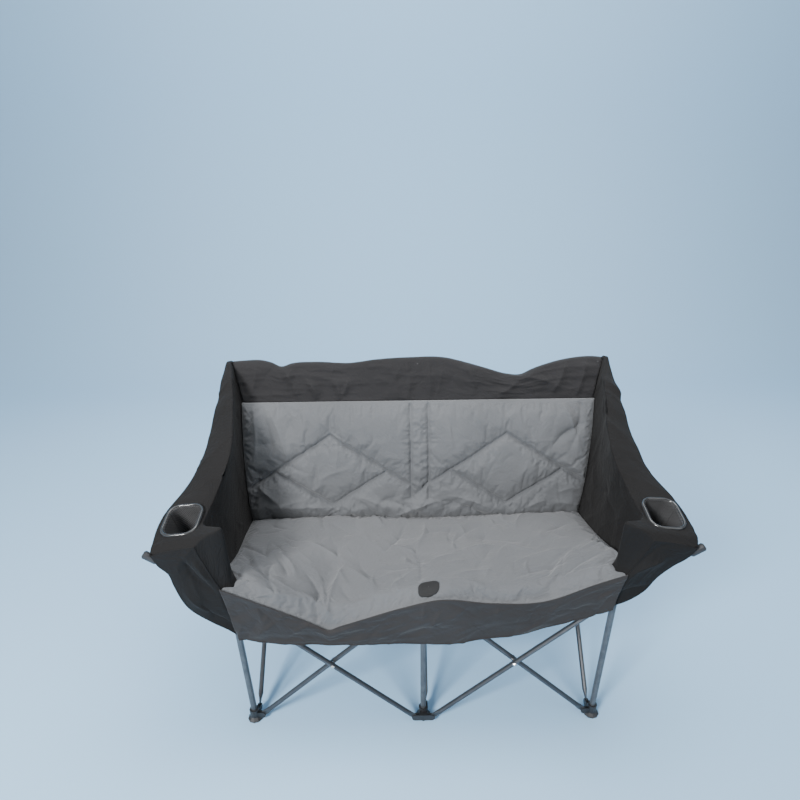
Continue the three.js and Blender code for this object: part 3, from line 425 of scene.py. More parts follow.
def linked(name: str, mesh: bpy.types.Mesh) -> Thing:
    """Makes a smooth shaded object of a mesh.

    Args:
        name: name of the new object.
        mesh: its mesh.

    Returns:
        The object, linked to the scene.
    """
    mesh.polygons.foreach_set("use_smooth", [True] * len(mesh.polygons))
    mesh.update()
    thing = bpy.data.objects.new(name, mesh)
    bpy.context.collection.objects.link(thing)
    return thing


def cloth_mesh(name: str, face: np.ndarray, base: np.ndarray | None = None, normals: np.ndarray | None = None,
               open_cells: np.ndarray | None = None) -> Thing:
    """Makes an object from a grid of points, with its lengths as UVs.

    Args:
        name: name of the new object.
        face: grid of points of the seen side.
        base: grid of the other side, for a closed pad or a cloth with a thickness.
        normals: normals of the face, where it has to shade as part of a larger grid.
        open_cells: cells of the grid that are left out.

    Returns:
        The object, smooth shaded and linked to the scene.
    """
    rows, columns = face.shape[:2]
    at = np.arange(rows * columns).reshape(rows, columns)
    quads = np.stack([at[:-1, :-1], at[:-1, 1:], at[1:, 1:], at[1:, :-1]], axis=2).reshape(-1, 4)
    if open_cells is not None:
        quads = quads[~open_cells.ravel()]
    points, lengths = face.reshape(-1, 3), lengths_of(face).reshape(-1, 2)
    shading = None if normals is None else normals.reshape(-1, 3)
    if base is not None:
        under = rows * columns
        rim = np.concatenate([at[0, :-1], at[:-1, -1], at[-1, :0:-1], at[:0:-1, 0]])
        low, high = under + rim, rim
        points = np.concatenate([points, base.reshape(-1, 3)])
        lengths = np.concatenate([lengths, lengths])
        quads = np.concatenate([quads, quads[:, ::-1] + under])
        if shading is not None:
            high = 2 * under + np.arange(len(rim))
            low = high + len(rim)
            points = np.concatenate([points, points[rim], points[under + rim]])
            lengths = np.concatenate([lengths, lengths[rim], lengths[rim]])
            shading = np.concatenate([shading, -shading, np.zeros((2 * len(rim), 3))])
        quads = np.concatenate([quads, np.stack([np.roll(high, -1), high, low, np.roll(low, -1)], axis=1)])
    mesh = bpy.data.meshes.new(name)
    mesh.from_pydata(points.tolist(), [], quads.tolist())
    layer = mesh.uv_layers.new(name="cloth")
    corner = np.empty(len(mesh.loops), int)
    mesh.loops.foreach_get("vertex_index", corner)
    layer.data.foreach_set("uv", lengths[corner].astype(np.float32).ravel())
    thing = linked(name, mesh)
    if shading is not None:
        mesh.normals_split_custom_set_from_vertices(shading)
    return thing


def thicken(thing: Thing, thickness: float) -> Thing:
    """Gives a sheet its cloth thickness, half to each side.

    Args:
        thing: the sheet.
        thickness: the cloth's whole thickness.

    Returns:
        The same sheet.
    """
    shell = thing.modifiers.new("cloth thickness", "SOLIDIFY")
    shell.thickness = thickness
    shell.offset = 0
    return thing


def welt_mesh(name: str, path: Sequence[Sequence[float]], radius: float, sides: int = 8) -> Thing:
    """Makes a round welt along points.

    Args:
        name: name of the new object.
        path: points of the middle line.
        radius: half the thickness.
        sides: facets round the section.

    Returns:
        The object, smooth shaded and linked to the scene.
    """
    line = np.array(path, float)
    step = np.gradient(line, axis=0)
    step /= np.maximum(np.linalg.norm(step, axis=1, keepdims=True), TINY)
    off_axis = np.array([0.13, 0.21, 0.97])
    aside = np.cross(step, off_axis)
    aside /= np.linalg.norm(aside, axis=1, keepdims=True)
    other = np.cross(step, aside)
    turn = np.linspace(0, 2 * math.pi, sides, endpoint=False)[None, :, None]
    rings = line[:, None] + radius * (np.cos(turn) * aside[:, None] + np.sin(turn) * other[:, None])
    count = len(line)
    quads = []
    for a in range(0, (count - 1) * sides, sides):
        for k in range(sides):
            n = (k + 1) % sides
            quads.append((a + k, a + sides + k, a + sides + n, a + n))
    quads += [tuple(range(sides)), tuple(range(count * sides - 1, (count - 1) * sides - 1, -1))]
    mesh = bpy.data.meshes.new(name)
    mesh.from_pydata(rings.reshape(-1, 3).tolist(), [], quads)
    return linked(name, mesh)


@dataclass(frozen=True)
class Inflation:
    """Cloth simulation that swells a pad between its seams."""

    pressure: float
    slack: float
    cap: float = 0.005
    rim: int = 2
    frames: int = 16
    quality: int = 4
    mass: float = 0.3
    stretch: float = 12.0
    shear: float = 4.0
    bending: float = 0.4

    def swell(self, name: str, face: np.ndarray, base: np.ndarray, sewn: np.ndarray) -> np.ndarray:
        """Swells the face of a closed pad, held at its rim, its seams and its other side.

        Args:
            name: name of the pad while it is simulated.
            face: grid of the side that swells.
            base: grid of the other side.
            sewn: whether a seam holds each point of the face.

        Returns:
            The face's new grid.
        """
        pad = cloth_mesh(name, face, base)
        inside = slice(self.rim, -self.rim)
        held = np.ones((2, *sewn.shape), bool)
        held[0, inside, inside] = sewn[inside, inside]
        rest = np.array([v.co for v in pad.data.vertices], float)
        moved = self.simulate(pad, held.ravel()) - rest
        bpy.data.objects.remove(pad)
        far = np.linalg.norm(moved, axis=1, keepdims=True)
        swollen = rest + moved * np.minimum(1.0, self.cap / np.maximum(far, TINY))
        return swollen[:sewn.size].reshape(face.shape)

    def simulate(self, thing: Thing, held: np.ndarray) -> np.ndarray:
        """Runs the cloth under pressure, without weight.

        Args:
            thing: pad that is swollen.
            held: whether a seam holds each vertex.

        Returns:
            The vertices' places at the last frame.
        """
        group = thing.vertex_groups.new(name="sewn")
        group.add(np.flatnonzero(held).tolist(), 1.0, "REPLACE")
        cloth = thing.modifiers.new("swelling", "CLOTH")
        cloth.settings.quality = self.quality
        cloth.settings.mass = self.mass
        cloth.settings.tension_stiffness = cloth.settings.compression_stiffness = self.stretch
        cloth.settings.shear_stiffness = self.shear
        cloth.settings.bending_stiffness = self.bending
        cloth.settings.use_pressure = True
        cloth.settings.uniform_pressure_force = self.pressure
        cloth.settings.shrink_min = -self.slack
        cloth.settings.vertex_group_mass = group.name
        cloth.settings.effector_weights.gravity = 0
        cloth.point_cache.frame_start, cloth.point_cache.frame_end = 1, self.frames
        scene = bpy.context.scene
        for step in range(1, self.frames + 1):
            scene.frame_set(step)
        swollen = thing.evaluated_get(bpy.context.evaluated_depsgraph_get()).to_mesh()
        places = np.array([v.co for v in swollen.vertices], float)
        thing.modifiers.remove(cloth)
        scene.frame_set(1)
        return places


# Shader groups: effects that several finishes share

class NodeGraph:
    """Shorthand for adding nodes and links to a tree."""

    def __init__(self, tree: bpy.types.NodeTree) -> None:
        """Keeps the tree that nodes are added to."""
        self.tree = tree

    def add(self, kind: str, **settings: Any) -> bpy.types.Node:
        """Adds a node.

        Args:
            kind: Blender's node type.
            settings: properties of the node by name.

        Returns:
            The new node.
        """
        node = self.tree.nodes.new(kind)
        for key, value in settings.items():
            setattr(node, key, value)
        return node

    def link(self, start: Socket, end: Socket) -> None:
        """Links two sockets."""
        self.tree.links.new(start, end)

    def feed(self, slot: Socket, value: Socket | float | None) -> None:
        """Links a socket to an input, or sets the input to a number.

        Args:
            slot: the input.
            value: socket, number or nothing.
        """
        if isinstance(value, Socket):
            self.link(value, slot)
        elif value is not None:
            slot.default_value = value

    def math(self, operation: str, a: Socket | float, b: Socket | float | None = None,
             clamp: bool = False) -> Socket:
        """Adds an operation on one or two inputs.

        Args:
            operation: Blender's name of the operation.
            a: socket or number.
            b: socket, number or nothing.
            clamp: whether the result stays from 0 to 1.

        Returns:
            The result's socket.
        """
        node = self.add("ShaderNodeMath", operation=operation, use_clamp=clamp)
        for slot, value in zip(node.inputs, (a, b)):
            self.feed(slot, value)
        return node.outputs[0]

    def times(self, a: Socket | float, b: Socket | float, clamp: bool = False) -> Socket:
        """Adds a product of two inputs."""
        return self.math("MULTIPLY", a, b, clamp)

    def noise(self, place: Socket, scale: Socket | float, detail: float = 3.0, distortion: float = 0.0,
              roughness: float = 0.5) -> Socket:
        """Adds a noise texture.

        Args:
            place: coordinates.
            scale: socket or number.
            detail: layers of finer noise.
            distortion: how far the noise is bent.
            roughness: how strong the finer layers are.

        Returns:
            The noise's socket.
        """
        node = self.add("ShaderNodeTexNoise")
        for label, value in (("Vector", place), ("Scale", scale), ("Detail", detail),
                             ("Distortion", distortion), ("Roughness", roughness)):
            self.feed(node.inputs[label], value)
        return node.outputs["Fac"]


class EffectGroup:
    """A shader node group with a place, one named number and named outputs, built once."""

    def __init__(self, name: str, number: str, default: float, outputs: Iterable[str]) -> None:
        """Makes the group and its sockets.

        Args:
            name: the group's name.
            number: name of the number that a finish sets.
            default: the number where a finish sets none.
            outputs: names of the values that come out.
        """
        self.label = number
        self.tree = bpy.data.node_groups.new(name, "ShaderNodeTree")
        sockets = self.tree.interface
        sockets.new_socket("Place", in_out="INPUT", socket_type="NodeSocketVector")
        sockets.new_socket(number, in_out="INPUT", socket_type="NodeSocketFloat").default_value = default
        for label in outputs:
            sockets.new_socket(label, in_out="OUTPUT", socket_type="NodeSocketFloat")
        self.graph = NodeGraph(self.tree)
        start = self.graph.add("NodeGroupInput")
        self.end = self.graph.add("NodeGroupOutput")
        self.place, self.number = start.outputs["Place"], start.outputs[number]

    def give(self, label: str, value: Socket) -> None:
        """Links a value to one of the group's outputs."""
        self.graph.link(value, self.end.inputs[label])


def woven_group() -> EffectGroup:
    """Makes the plain weave: threads that pass over and under each other.

    Returns:
        The group.
    """
    group = EffectGroup("plain weave", "Threads", 900.0, ["Height", "Shade"])
    g = group.graph
    split = g.add("ShaderNodeSeparateXYZ")
    g.link(group.place, split.inputs[0])
    threads = [g.times(split.outputs[k], group.number) for k in (0, 1)]
    cell = g.math("ADD", *(g.math("FLOOR", thread) for thread in threads))
    over = g.math("MODULO", g.math("ABSOLUTE", cell), 2.0)
    warp, weft = (g.math("ABSOLUTE", g.math("SINE", g.times(thread, math.pi))) for thread in threads)
    height = g.math("ADD", g.times(warp, over), g.times(weft, g.math("SUBTRACT", 1.0, over)))
    group.give("Height", height)
    slub = g.noise(group.place, scale=260.0, detail=2.0)
    group.give("Shade", g.times(g.math("ADD", height, slub), 0.5))
    return group


def rumpled_group() -> EffectGroup:
    """Makes fine crumples of cloth that has been stuffed in a bag, with faded patches.

    Returns:
        The group.
    """
    fine_scale, fade_scale, ridge_share = 2.3, 0.35, 0.9
    group = EffectGroup("rumpled cloth", "Size", 18.0, ["Height", "Fade"])
    g = group.graph
    broad = g.noise(group.place, group.number, detail=4.0, distortion=0.9, roughness=0.55)
    fine = g.noise(group.place, g.times(group.number, fine_scale), detail=2.0, distortion=1.6)
    ridge = g.math("ABSOLUTE", g.math("SUBTRACT", fine, 0.5))
    group.give("Height", g.math("SUBTRACT", broad, g.times(ridge, ridge_share)))
    fade = g.noise(group.place, g.times(group.number, fade_scale), detail=3.0, distortion=0.4)
    group.give("Fade", fade)
    return group


def scuffed_group() -> EffectGroup:
    """Makes rubbed edges and fine scratches of handled metal and plastic.

    Returns:
        The group.
    """
    edge_start, edge_gain = 0.52, 9.0
    scratch_level, scratch_share = 0.66, 0.25
    group = EffectGroup("scuffed surface", "Amount", 0.5, ["Rub", "Grain"])
    g = group.graph
    sharp = g.add("ShaderNodeNewGeometry").outputs["Pointiness"]
    edge = g.times(g.math("SUBTRACT", sharp, edge_start), edge_gain, clamp=True)
    patchy = g.noise(group.place, scale=55.0, detail=5.0, distortion=0.3)
    streaks = g.noise(group.place, scale=210.0, detail=2.0, distortion=2.2)
    scratch = g.math("GREATER_THAN", streaks, scratch_level)
    rub = g.math("ADD", g.times(edge, patchy), g.times(scratch, scratch_share))
    group.give("Rub", g.times(rub, group.number, clamp=True))
    group.give("Grain", g.noise(group.place, scale=900.0, detail=2.0))
    return group


class Effects:
    """The shader groups that finishes draw on."""

    def __init__(self) -> None:
        """Builds each group once."""
        self.woven = woven_group()
        self.rumpled = rumpled_group()
        self.scuffed = scuffed_group()


class Place(Enum):
    """Which coordinates a finish is laid out in."""

    CLOTH = "UV"
    SOLID = "Object"


class Recipe:
    """A material in the making."""

    def __init__(self, name: str, place: Place) -> None:
        """Starts the material, with its coordinates.

        Args:
            name: the material's name.
            place: coordinates that its pattern is laid out in.
        """
        self.material = bpy.data.materials.new(name)
        self.material.use_nodes = True
        self.graph = NodeGraph(self.material.node_tree)
        self.shader = self.material.node_tree.nodes["Principled BSDF"]
        self.place = self.graph.add("ShaderNodeTexCoord").outputs[place.value]

    def set(self, **values: Socket | float) -> None:
        """Feeds inputs of the shader, named with _ for a space."""
        for label, value in values.items():
            self.graph.feed(self.shader.inputs[label.replace("_", " ")], value)

    def effect(self, group: EffectGroup, number: float) -> bpy.types.bpy_prop_collection:
        """Places a shared effect with the finish's own number.

        Args:
            group: the effect.
            number: value of its named number.

        Returns:
            The effect's outputs.
        """
        node = self.graph.add("ShaderNodeGroup", node_tree=group.tree)
        self.graph.link(self.place, node.inputs["Place"])
        node.inputs[group.label].default_value = number
        return node.outputs

    def shade(self, mask: Socket, dark: Triple, light: Triple) -> None:
        """Colours the surface between two colours.

        Args:
            mask: 0 for the dark colour and 1 for the light one.
            dark: first colour.
            light: second colour.
        """
        mix = self.graph.add("ShaderNodeMix", data_type="RGBA")
        self.graph.link(mask, mix.inputs["Factor"])
        mix.inputs["A"].default_value = (*dark, 1)
        mix.inputs["B"].default_value = (*light, 1)
        self.set(Base_Color=mix.outputs["Result"])

    def rough(self, grain: Socket, swing: float, middle: float) -> None:
        """Sets a roughness that a grain moves by half a swing to each side."""
        scaled = self.graph.times(grain, swing)
        self.set(Roughness=self.graph.math("ADD", scaled, middle - swing / 2, clamp=True))

    def bump(self, layers: Sequence[tuple[Socket, float, float]]) -> None:
        """Raises the surface.

        Args:
            layers: height, strength and distance in metres of each layer.
        """
        before = None
        for height, strength, distance in layers:
            node = self.graph.add("ShaderNodeBump")
            for label, value in (("Strength", strength), ("Distance", distance), ("Height", height),
                                 ("Normal", before)):
                self.graph.feed(node.inputs[label], value)
            before = node.outputs["Normal"]
        self.set(Normal=before)


@dataclass(frozen=True)
class ClothFinish:
    """Woven polyester."""

    name: str
    dark: Triple
    light: Triple
    rumple: float
    rumple_depth: float
    sheen: float
    gloss: float = 0.25
    threads: float = 850.0
    roughness: float = 0.82
    rough_swing: float = 0.12
    sheen_roughness: float = 0.5
    weave_share: float = 0.45
    fade_share: float = 0.55
    rumple_strength: float = 0.55
    weave_strength: float = 0.25
    weave_depth: float = 0.0004

    def make(self, effects: Effects) -> bpy.types.Material:
        """Makes the cloth's material.

        Args:
            effects: the shared shader groups.

        Returns:
            The material.
        """
        recipe = Recipe(self.name, Place.CLOTH)
        graph = recipe.graph
        weave = recipe.effect(effects.woven, self.threads)
        rumple = recipe.effect(effects.rumpled, self.rumple)
        tone = graph.math("ADD", graph.times(weave["Shade"], self.weave_share),
                          graph.times(rumple["Fade"], self.fade_share), clamp=True)
        recipe.shade(tone, self.dark, self.light)
        recipe.rough(weave["Shade"], self.rough_swing, self.roughness)
        recipe.set(Sheen_Weight=self.sheen, Sheen_Roughness=self.sheen_roughness)
        recipe.set(Specular_IOR_Level=self.gloss)
        recipe.bump([(rumple["Height"], self.rumple_strength, self.rumple_depth),
                     (weave["Height"], self.weave_strength, self.weave_depth)])
        return recipe.material


@dataclass(frozen=True)
class HardFinish:
    """Paint, moulded plastic, zinc or rubber."""

    name: str
    colour: Triple
    rubbed: Triple
    roughness: float
    wear: float
    metallic: float = 0.0
    coat: float = 0.0
    grain: float = 0.0003
    grain_strength: float = 0.2
    rough_swing: float = 0.2

    def make(self, effects: Effects) -> bpy.types.Material:
        """Makes the surface's material.

        Args:
            effects: the shared shader groups.

        Returns:
            The material.
        """
        recipe = Recipe(self.name, Place.SOLID)
        scuff = recipe.effect(effects.scuffed, self.wear)
        recipe.shade(scuff["Rub"], self.colour, self.rubbed)
        recipe.rough(scuff["Grain"], self.rough_swing, self.roughness)
        recipe.set(Metallic=self.metallic, Coat_Weight=self.coat)
        recipe.bump([(scuff["Grain"], self.grain_strength, self.grain)])
        return recipe.material


@dataclass(frozen=True)
class NetFinish:
    """Knitted mesh with open holes."""

    name: str
    colour: Triple
    light: Triple
    pitch: float = 190.0
    thread: float = 0.55
    rumple: float = 40.0
    roughness: float = 0.8

    def make(self, effects: Effects) -> bpy.types.Material:
        """Makes the net's material, open between its threads.

        Args:
            effects: the shared shader groups.

        Returns:
            The material.
        """
        recipe = Recipe(self.name, Place.CLOTH)
        graph = recipe.graph
        split = graph.add("ShaderNodeSeparateXYZ")
        graph.link(recipe.place, split.inputs[0])
        u, v = split.outputs[0], split.outputs[1]
        waves = []
        for slant in (graph.math("ADD", u, v), graph.math("SUBTRACT", u, v)):
            turn = graph.times(slant, self.pitch * math.pi)
            waves.append(graph.math("ABSOLUTE", graph.math("SINE", turn)))
        recipe.set(Alpha=graph.math("LESS_THAN", graph.math("MINIMUM", *waves), self.thread))
        recipe.shade(recipe.effect(effects.rumpled, self.rumple)["Fade"], self.colour, self.light)
        recipe.set(Roughness=self.roughness)
        return recipe.material


class Finish(Enum):
    """Every finish of the chair."""

    GREY = ClothFinish("grey polyester", (0.068, 0.072, 0.078), (0.146, 0.151, 0.158),
                       rumple=11.0, rumple_depth=0.0055, sheen=0.2)
    BLACK = ClothFinish("black polyester", (0.0070, 0.0067, 0.0073), (0.0215, 0.0207, 0.0222),
                        rumple=14.0, rumple_depth=0.005, sheen=0.1)
    # The valance's copy of the black cloth is lighter: painted light, for the light that falls on the hanging
    # front.
    VALANCE_PAINTED_LIGHT_BLACK = ClothFinish("black valance polyester", (0.0090, 0.0084, 0.0086), (0.040, 0.037, 0.037),
                                rumple=9.0, rumple_depth=0.006, sheen=0.1)
    # The wings' copy of the black cloth is darker: painted shade, for the shade inside the wings' hollows.
    WING_PAINTED_SHADE_BLACK = ClothFinish("black wing polyester", (0.0045, 0.0043, 0.0044), (0.0165, 0.0158, 0.0158),
                             rumple=12.0, rumple_depth=0.006, sheen=0.03, gloss=0.14)
    NET = NetFinish("black knitted mesh", (0.03, 0.03, 0.031), (0.10, 0.10, 0.103))
    PAINT = HardFinish("dark grey tube paint", (0.045, 0.049, 0.055), (0.22, 0.22, 0.23),
                       roughness=0.38, wear=0.7, metallic=0.55)
    PLASTIC = HardFinish("black moulded plastic", (0.012, 0.0125, 0.014), (0.07, 0.07, 0.075),
                         roughness=0.5, wear=0.6, grain=0.0005)
    ZINC = HardFinish("zinc rivet", (0.55, 0.55, 0.55), (0.75, 0.75, 0.74),
                      roughness=0.32, wear=0.8, metallic=1.0)
    RUBBER = HardFinish("black patch rubber", (0.010, 0.010, 0.0105), (0.03, 0.03, 0.03),
                        roughness=0.85, wear=0.4, grain=0.0004)
    RING = HardFinish("cup ring plastic", (0.020, 0.021, 0.022), (0.14, 0.14, 0.142),
                      roughness=0.22, wear=0.5, coat=0.5)


class Finishes:
    """The materials of the chair, made once."""

    def __init__(self) -> None:
        """Makes the shared effects and then each finish's material."""
        effects = Effects()
        self.made = {finish: finish.value.make(effects) for finish in Finish}

    def put_on(self, thing: Thing, finish: Finish) -> Thing:
        """Gives a piece its finish."""
        return wear_on(thing, self.made[finish])


def wear_on(thing: Thing, material: bpy.types.Material) -> Thing:
    """Gives a piece its material.

    Args:
        thing: the piece.
        material: what it is made of.

    Returns:
        The same piece.
    """
    thing.data.materials.clear()
    thing.data.materials.append(material)
    return thing


# The padded seat

@dataclass
class SeatPad:
    """Grey padded seat: a hammock whose left half hangs to a point at the front."""

    finishes: Finishes
    front_line: tuple[Span, ...] = (
        (-0.480, 0.478), (-0.388, 0.431), (-0.298, 0.384), (-0.258, 0.362), (-0.232, 0.347), (-0.206, 0.357),
        (-0.154, 0.376), (-0.057, 0.411), (0.038, 0.435), (0.157, 0.423), (0.275, 0.424), (0.409, 0.479),
        (0.474, 0.504))
    taut_line: tuple[Span, ...] = ((-0.480, 0.478), (0.0, 0.432), (0.474, 0.504))
    rear_line: tuple[Span, ...] = (
        (-0.536, 0.390), (-0.276, 0.404), (0.0, 0.396), (0.250, 0.401), (0.500, 0.408))
    corner: Span = (0.474, 0.468)
    narrow: float = 0.448
    wide: float = 0.491
    rear_spread: Span = (0.026, -0.002)
    before_post: Span = (-0.026, -0.012)
    behind_post: Span = (0.012, 0.044)
    spread_run: Span = (0.08, 0.40)
    front_power: float = 1.5
    dish: float = 0.016
    roll: float = 0.020
    roll_depth: float = 0.046
    pad: float = 0.022
    edge: float = 0.009
    crown_run: float = 0.020
    inflation: Inflation = Inflation(pressure=2.0, slack=0.025)
    slack: Slack = Slack(7, ridge_run=((2.6, 2.2), (-1.6, 5.2)), ridge=0.0030,
                         fold_run=((8, 0), (0, 10)), fold=0.0020)
    right_ridge: float = 0.0018
    crease_gain: float = 1.5
    calm_rim: float = 0.022
    calm_patch: Span = (0.026, 0.050)
    cut: float = 0.183
    front_seam: float = 0.016
    fold_keep: float = 0.214
    layer_keep: float = 0.015
    hub_height: float = 0.43
    patch_place: Span = (0.012, -0.006)
    columns: int = 181
    rows: int = 80
    row_bunching: float = 1.15
    # A sharp fold at the low point, a fan round it and many short ones
    creases: tuple[Crease, ...] = crease_set(
        (-0.226, -0.075, -0.214, 0.130, 0.012, 0.016), (-0.244, -0.070, -0.262, 0.060, -0.009, 0.012),
        (-0.390, 0.160, -0.345, 0.080, -0.008, 0.012), (-0.372, 0.165, -0.325, 0.085, 0.005, 0.010),
        (-0.290, 0.020, -0.215, -0.030, 0.006, 0.010), (-0.044, 0.330, -0.100, 0.200, -0.006, 0.010),
        (-0.090, 0.226, -0.004, 0.160, 0.006, 0.010), (0.015, 0.320, -0.017, 0.195, 0.006, 0.011),
        (-0.030, 0.230, -0.008, 0.000, -0.006, 0.012), (0.331, 0.007, 0.430, 0.062, -0.006, 0.010),
        (0.440, 0.160, 0.478, 0.050, 0.006, 0.012), (-0.480, 0.195, -0.415, 0.150, -0.006, 0.010),
        (-0.266, 0.335, -0.190, 0.270, -0.005, 0.010), (-0.189, 0.133, -0.120, 0.020, 0.007, 0.014),
        (-0.337, 0.235, -0.200, 0.165, 0.006, 0.012), (0.150, 0.245, 0.280, 0.212, -0.004, 0.012),
        (0.250, 0.118, 0.370, 0.140, 0.004, 0.012), (-0.150, -0.010, -0.205, 0.060, -0.006, 0.012),
        (-0.110, 0.060, -0.170, 0.170, -0.006, 0.013), (-0.300, 0.100, -0.250, 0.010, -0.005, 0.010),
        (0.06, 0.02, 0.16, -0.015, 0.004, 0.012), (0.09, 0.36, 0.13, 0.25, 0.004, 0.010))
    scatters: tuple[Scatter, ...] = (
        Scatter(11, 46, x=(-0.45, 0.02), y=(-0.01, 0.38), lean=2.1, height=0.0046),
        Scatter(12, 44, x=(0.02, 0.45), y=(0.02, 0.38), lean=1.2, height=0.0046))

    def __post_init__(self) -> None:
        """Draws the lines that the seat hangs between."""
        self.front = Profile(self.front_line, self.edge / 2)
        self.taut = Profile(self.taut_line, self.edge / 2)
        self.rear = Profile(self.rear_line)

    def half_width(self, y: Values, side: Side) -> np.ndarray:
        """Returns half the seat's width: flared round the front post and wider behind it.

        Args:
            y: depth behind the front posts.
            side: which half of the seat.

        Returns:
            The half width at each depth.
        """
        front = lerp(self.corner[side.index], self.narrow, smooth(*self.before_post, y))
        behind = lerp(front, self.wide, smooth(*self.behind_post, y))
        return behind + self.rear_spread[side.index] * smooth(*self.spread_run, y)

    def base_z(self, x: Values, y: Values) -> np.ndarray:
        """Returns the height of the seat's edge line, before the padding.

        Args:
            x: width, negative to the left.
            y: depth behind the front posts.

        Returns:
            The height.
        """
        forward = np.clip((SEAT_REAR - y) / (SEAT_REAR - SEAT_FRONT), 0, 1)
        hang = lerp(self.rear(x), self.taut(x) + self.roll, forward)
        hang = hang + (self.front(x) - self.taut(x)) * forward ** self.front_power
        roll = self.roll * smooth(0, self.roll_depth, SEAT_FRONT + self.roll_depth - y) ** 2
        return hang - self.dish * np.sin(math.pi * forward) - roll

    def grids(self) -> tuple[np.ndarray, np.ndarray]:
        """Draws the pad before it is swollen.

        Returns:
            The top and the underside as grids of points.
        """
        depth = lerp(SEAT_FRONT, SEAT_REAR, np.linspace(0, 1, self.rows) ** self.row_bunching)
        across = np.linspace(-1, 1, self.columns)
        y = depth[:, None] * np.ones_like(across)
        half = np.where(across < 0, self.half_width(y, Side.LEFT), self.half_width(y, Side.RIGHT))
        x = across * half
        z = self.base_z(x, y)
        rim = np.minimum((1 - np.abs(across)) * half, np.minimum(y - SEAT_FRONT, SEAT_REAR - y))
        crown = 1 - np.exp(-rim / self.crown_run)
        slack = self.slack.over(x, y, np.where(x < 0, self.slack.ridge, self.right_ridge))
        puff = lerp(self.edge, self.pad, crown) + slack * crown
        top = np.dstack([x, y + FRONT_ROW, z - self.edge / 2 + puff])
        base = np.dstack([x, y + FRONT_ROW, z - self.edge / 2])
        return top, base

    def creased(self, top: np.ndarray, base: np.ndarray) -> tuple[np.ndarray, np.ndarray]:
        """Returns finer grids of the top, with its folds, and of the underside.

        Args:
            top: swollen top.
            base: underside.

        Returns:
            Both grids, with twice the steps.
        """
        top, base = refined(top), refined(base)
        x, y = top[..., 0], top[..., 1] - FRONT_ROW
        rim = smooth(0.0, self.calm_rim, rim_distance(top))
        flat = smooth(*self.calm_patch, np.hypot(x - self.patch_place[0], y - self.patch_place[1]))
        top[..., 2] += self.crease_gain * lifted(self.creases, self.scatters, x, y) * rim * flat
        return top, base

    def surface(self, x: float, y: float, within: float = 0.007) -> float:
        """Returns the height of the finished top.

        Args:
            x: width, negative to the left.
            y: depth behind the front posts.
            within: distance that the height is averaged over.

        Returns:
            The height.
        """
        away = np.hypot(self.top[..., 0] - x, self.top[..., 1] - FRONT_ROW - y)
        return float(self.top[..., 2][away < within].mean())

    def build(self) -> list[Thing]:
        """Swells the pad, creases it and hangs its strips on the hubs.

        Returns:
            The strips.
        """
        top, base = self.grids()
        top = self.inflation.swell("seat_whole", top, base, np.zeros(top.shape[:2], bool))
        self.top, base = self.creased(top, base)
        top, normals = self.top, normals_of(self.top)
        columns = top.shape[1]
        seam = int(np.argmin(np.abs(top[:, 0, 1] - FRONT_ROW - self.front_seam)))
        first = int(np.argmin(np.abs(np.linspace(-self.wide, self.wide, columns) + self.cut)))
        last = columns - 1 - first
        behind = slice(seam, None)
        cuts = {"front": (slice(0, seam + 1), slice(None)), "left": (behind, slice(0, first + 1)),
                "centre": (behind, slice(first, last + 1)), "right": (behind, slice(last, None))}
        parts = []
        for word, cut in cuts.items():
            part = cloth_mesh(f"seat_pad_{word}", top[cut], base[cut], normals[cut])
            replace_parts(self.finishes.put_on(part, Finish.GREY), "seat_pad")
            parts.append(part)
        self.hang(parts[0], parts[1:])
        return parts

    def gather(self, part: Thing) -> None:
        """Hangs a piece of the seat's front on the front hub."""
        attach(part, "hub_front_centre")
        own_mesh(part)

    def hang(self, front: Thing, strips: list[Thing]) -> None:
        """Hangs the front on its hub, and the strips on the rear hubs.

        Args:
            front: front strip, over the whole width.
            strips: left, centre and right strip behind it.
        """
        self.gather(front)
        for behind, (part, word) in enumerate(zip(reversed(strips), ("right", "centre", "left"))):
            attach(part, f"hub_rear_{word}")
            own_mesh(part)


@dataclass
class SeatPatch:
    """Small bare rubber patch sewn on the seat's front.

    The mould's rows are a ring's size as a share of the outline, and its height as a share of the thickness.
    """

    finishes: Finishes
    seat: SeatPad
    size: Span = (0.050, 0.035)
    corner: float = 0.0135
    thick: float = 0.0032
    facets: int = 48
    mould: tuple[Span, ...] = ((1.0, -0.6), (1.0, 0.9), (0.97, 1.15), (0.90, 1.15), (0.86, 0.85), (0.7, 0.9),
                               (0.5, 0.95), (0.3, 1.0), (0.05, 1.0))

    def build(self) -> Thing:
        """Lays the patch on the pad, with a raised rim.

        Returns:
            The patch.
        """
        outline = rounded_outline(*self.size, self.corner, self.facets)
        rows = []
        for scale, lift in self.mould:
            row = []
            for x, y in outline * scale + np.array(self.seat.patch_place):
                row.append((x, y + FRONT_ROW, self.seat.surface(x, y) + lift * self.thick))
            rows.append(row + row[:1])
        patch = cloth_mesh("seat_patch_rubber", np.array(rows))
        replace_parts(self.finishes.put_on(patch, Finish.RUBBER), "seat_patch")
        self.seat.gather(patch)
        return patch


# The padded back

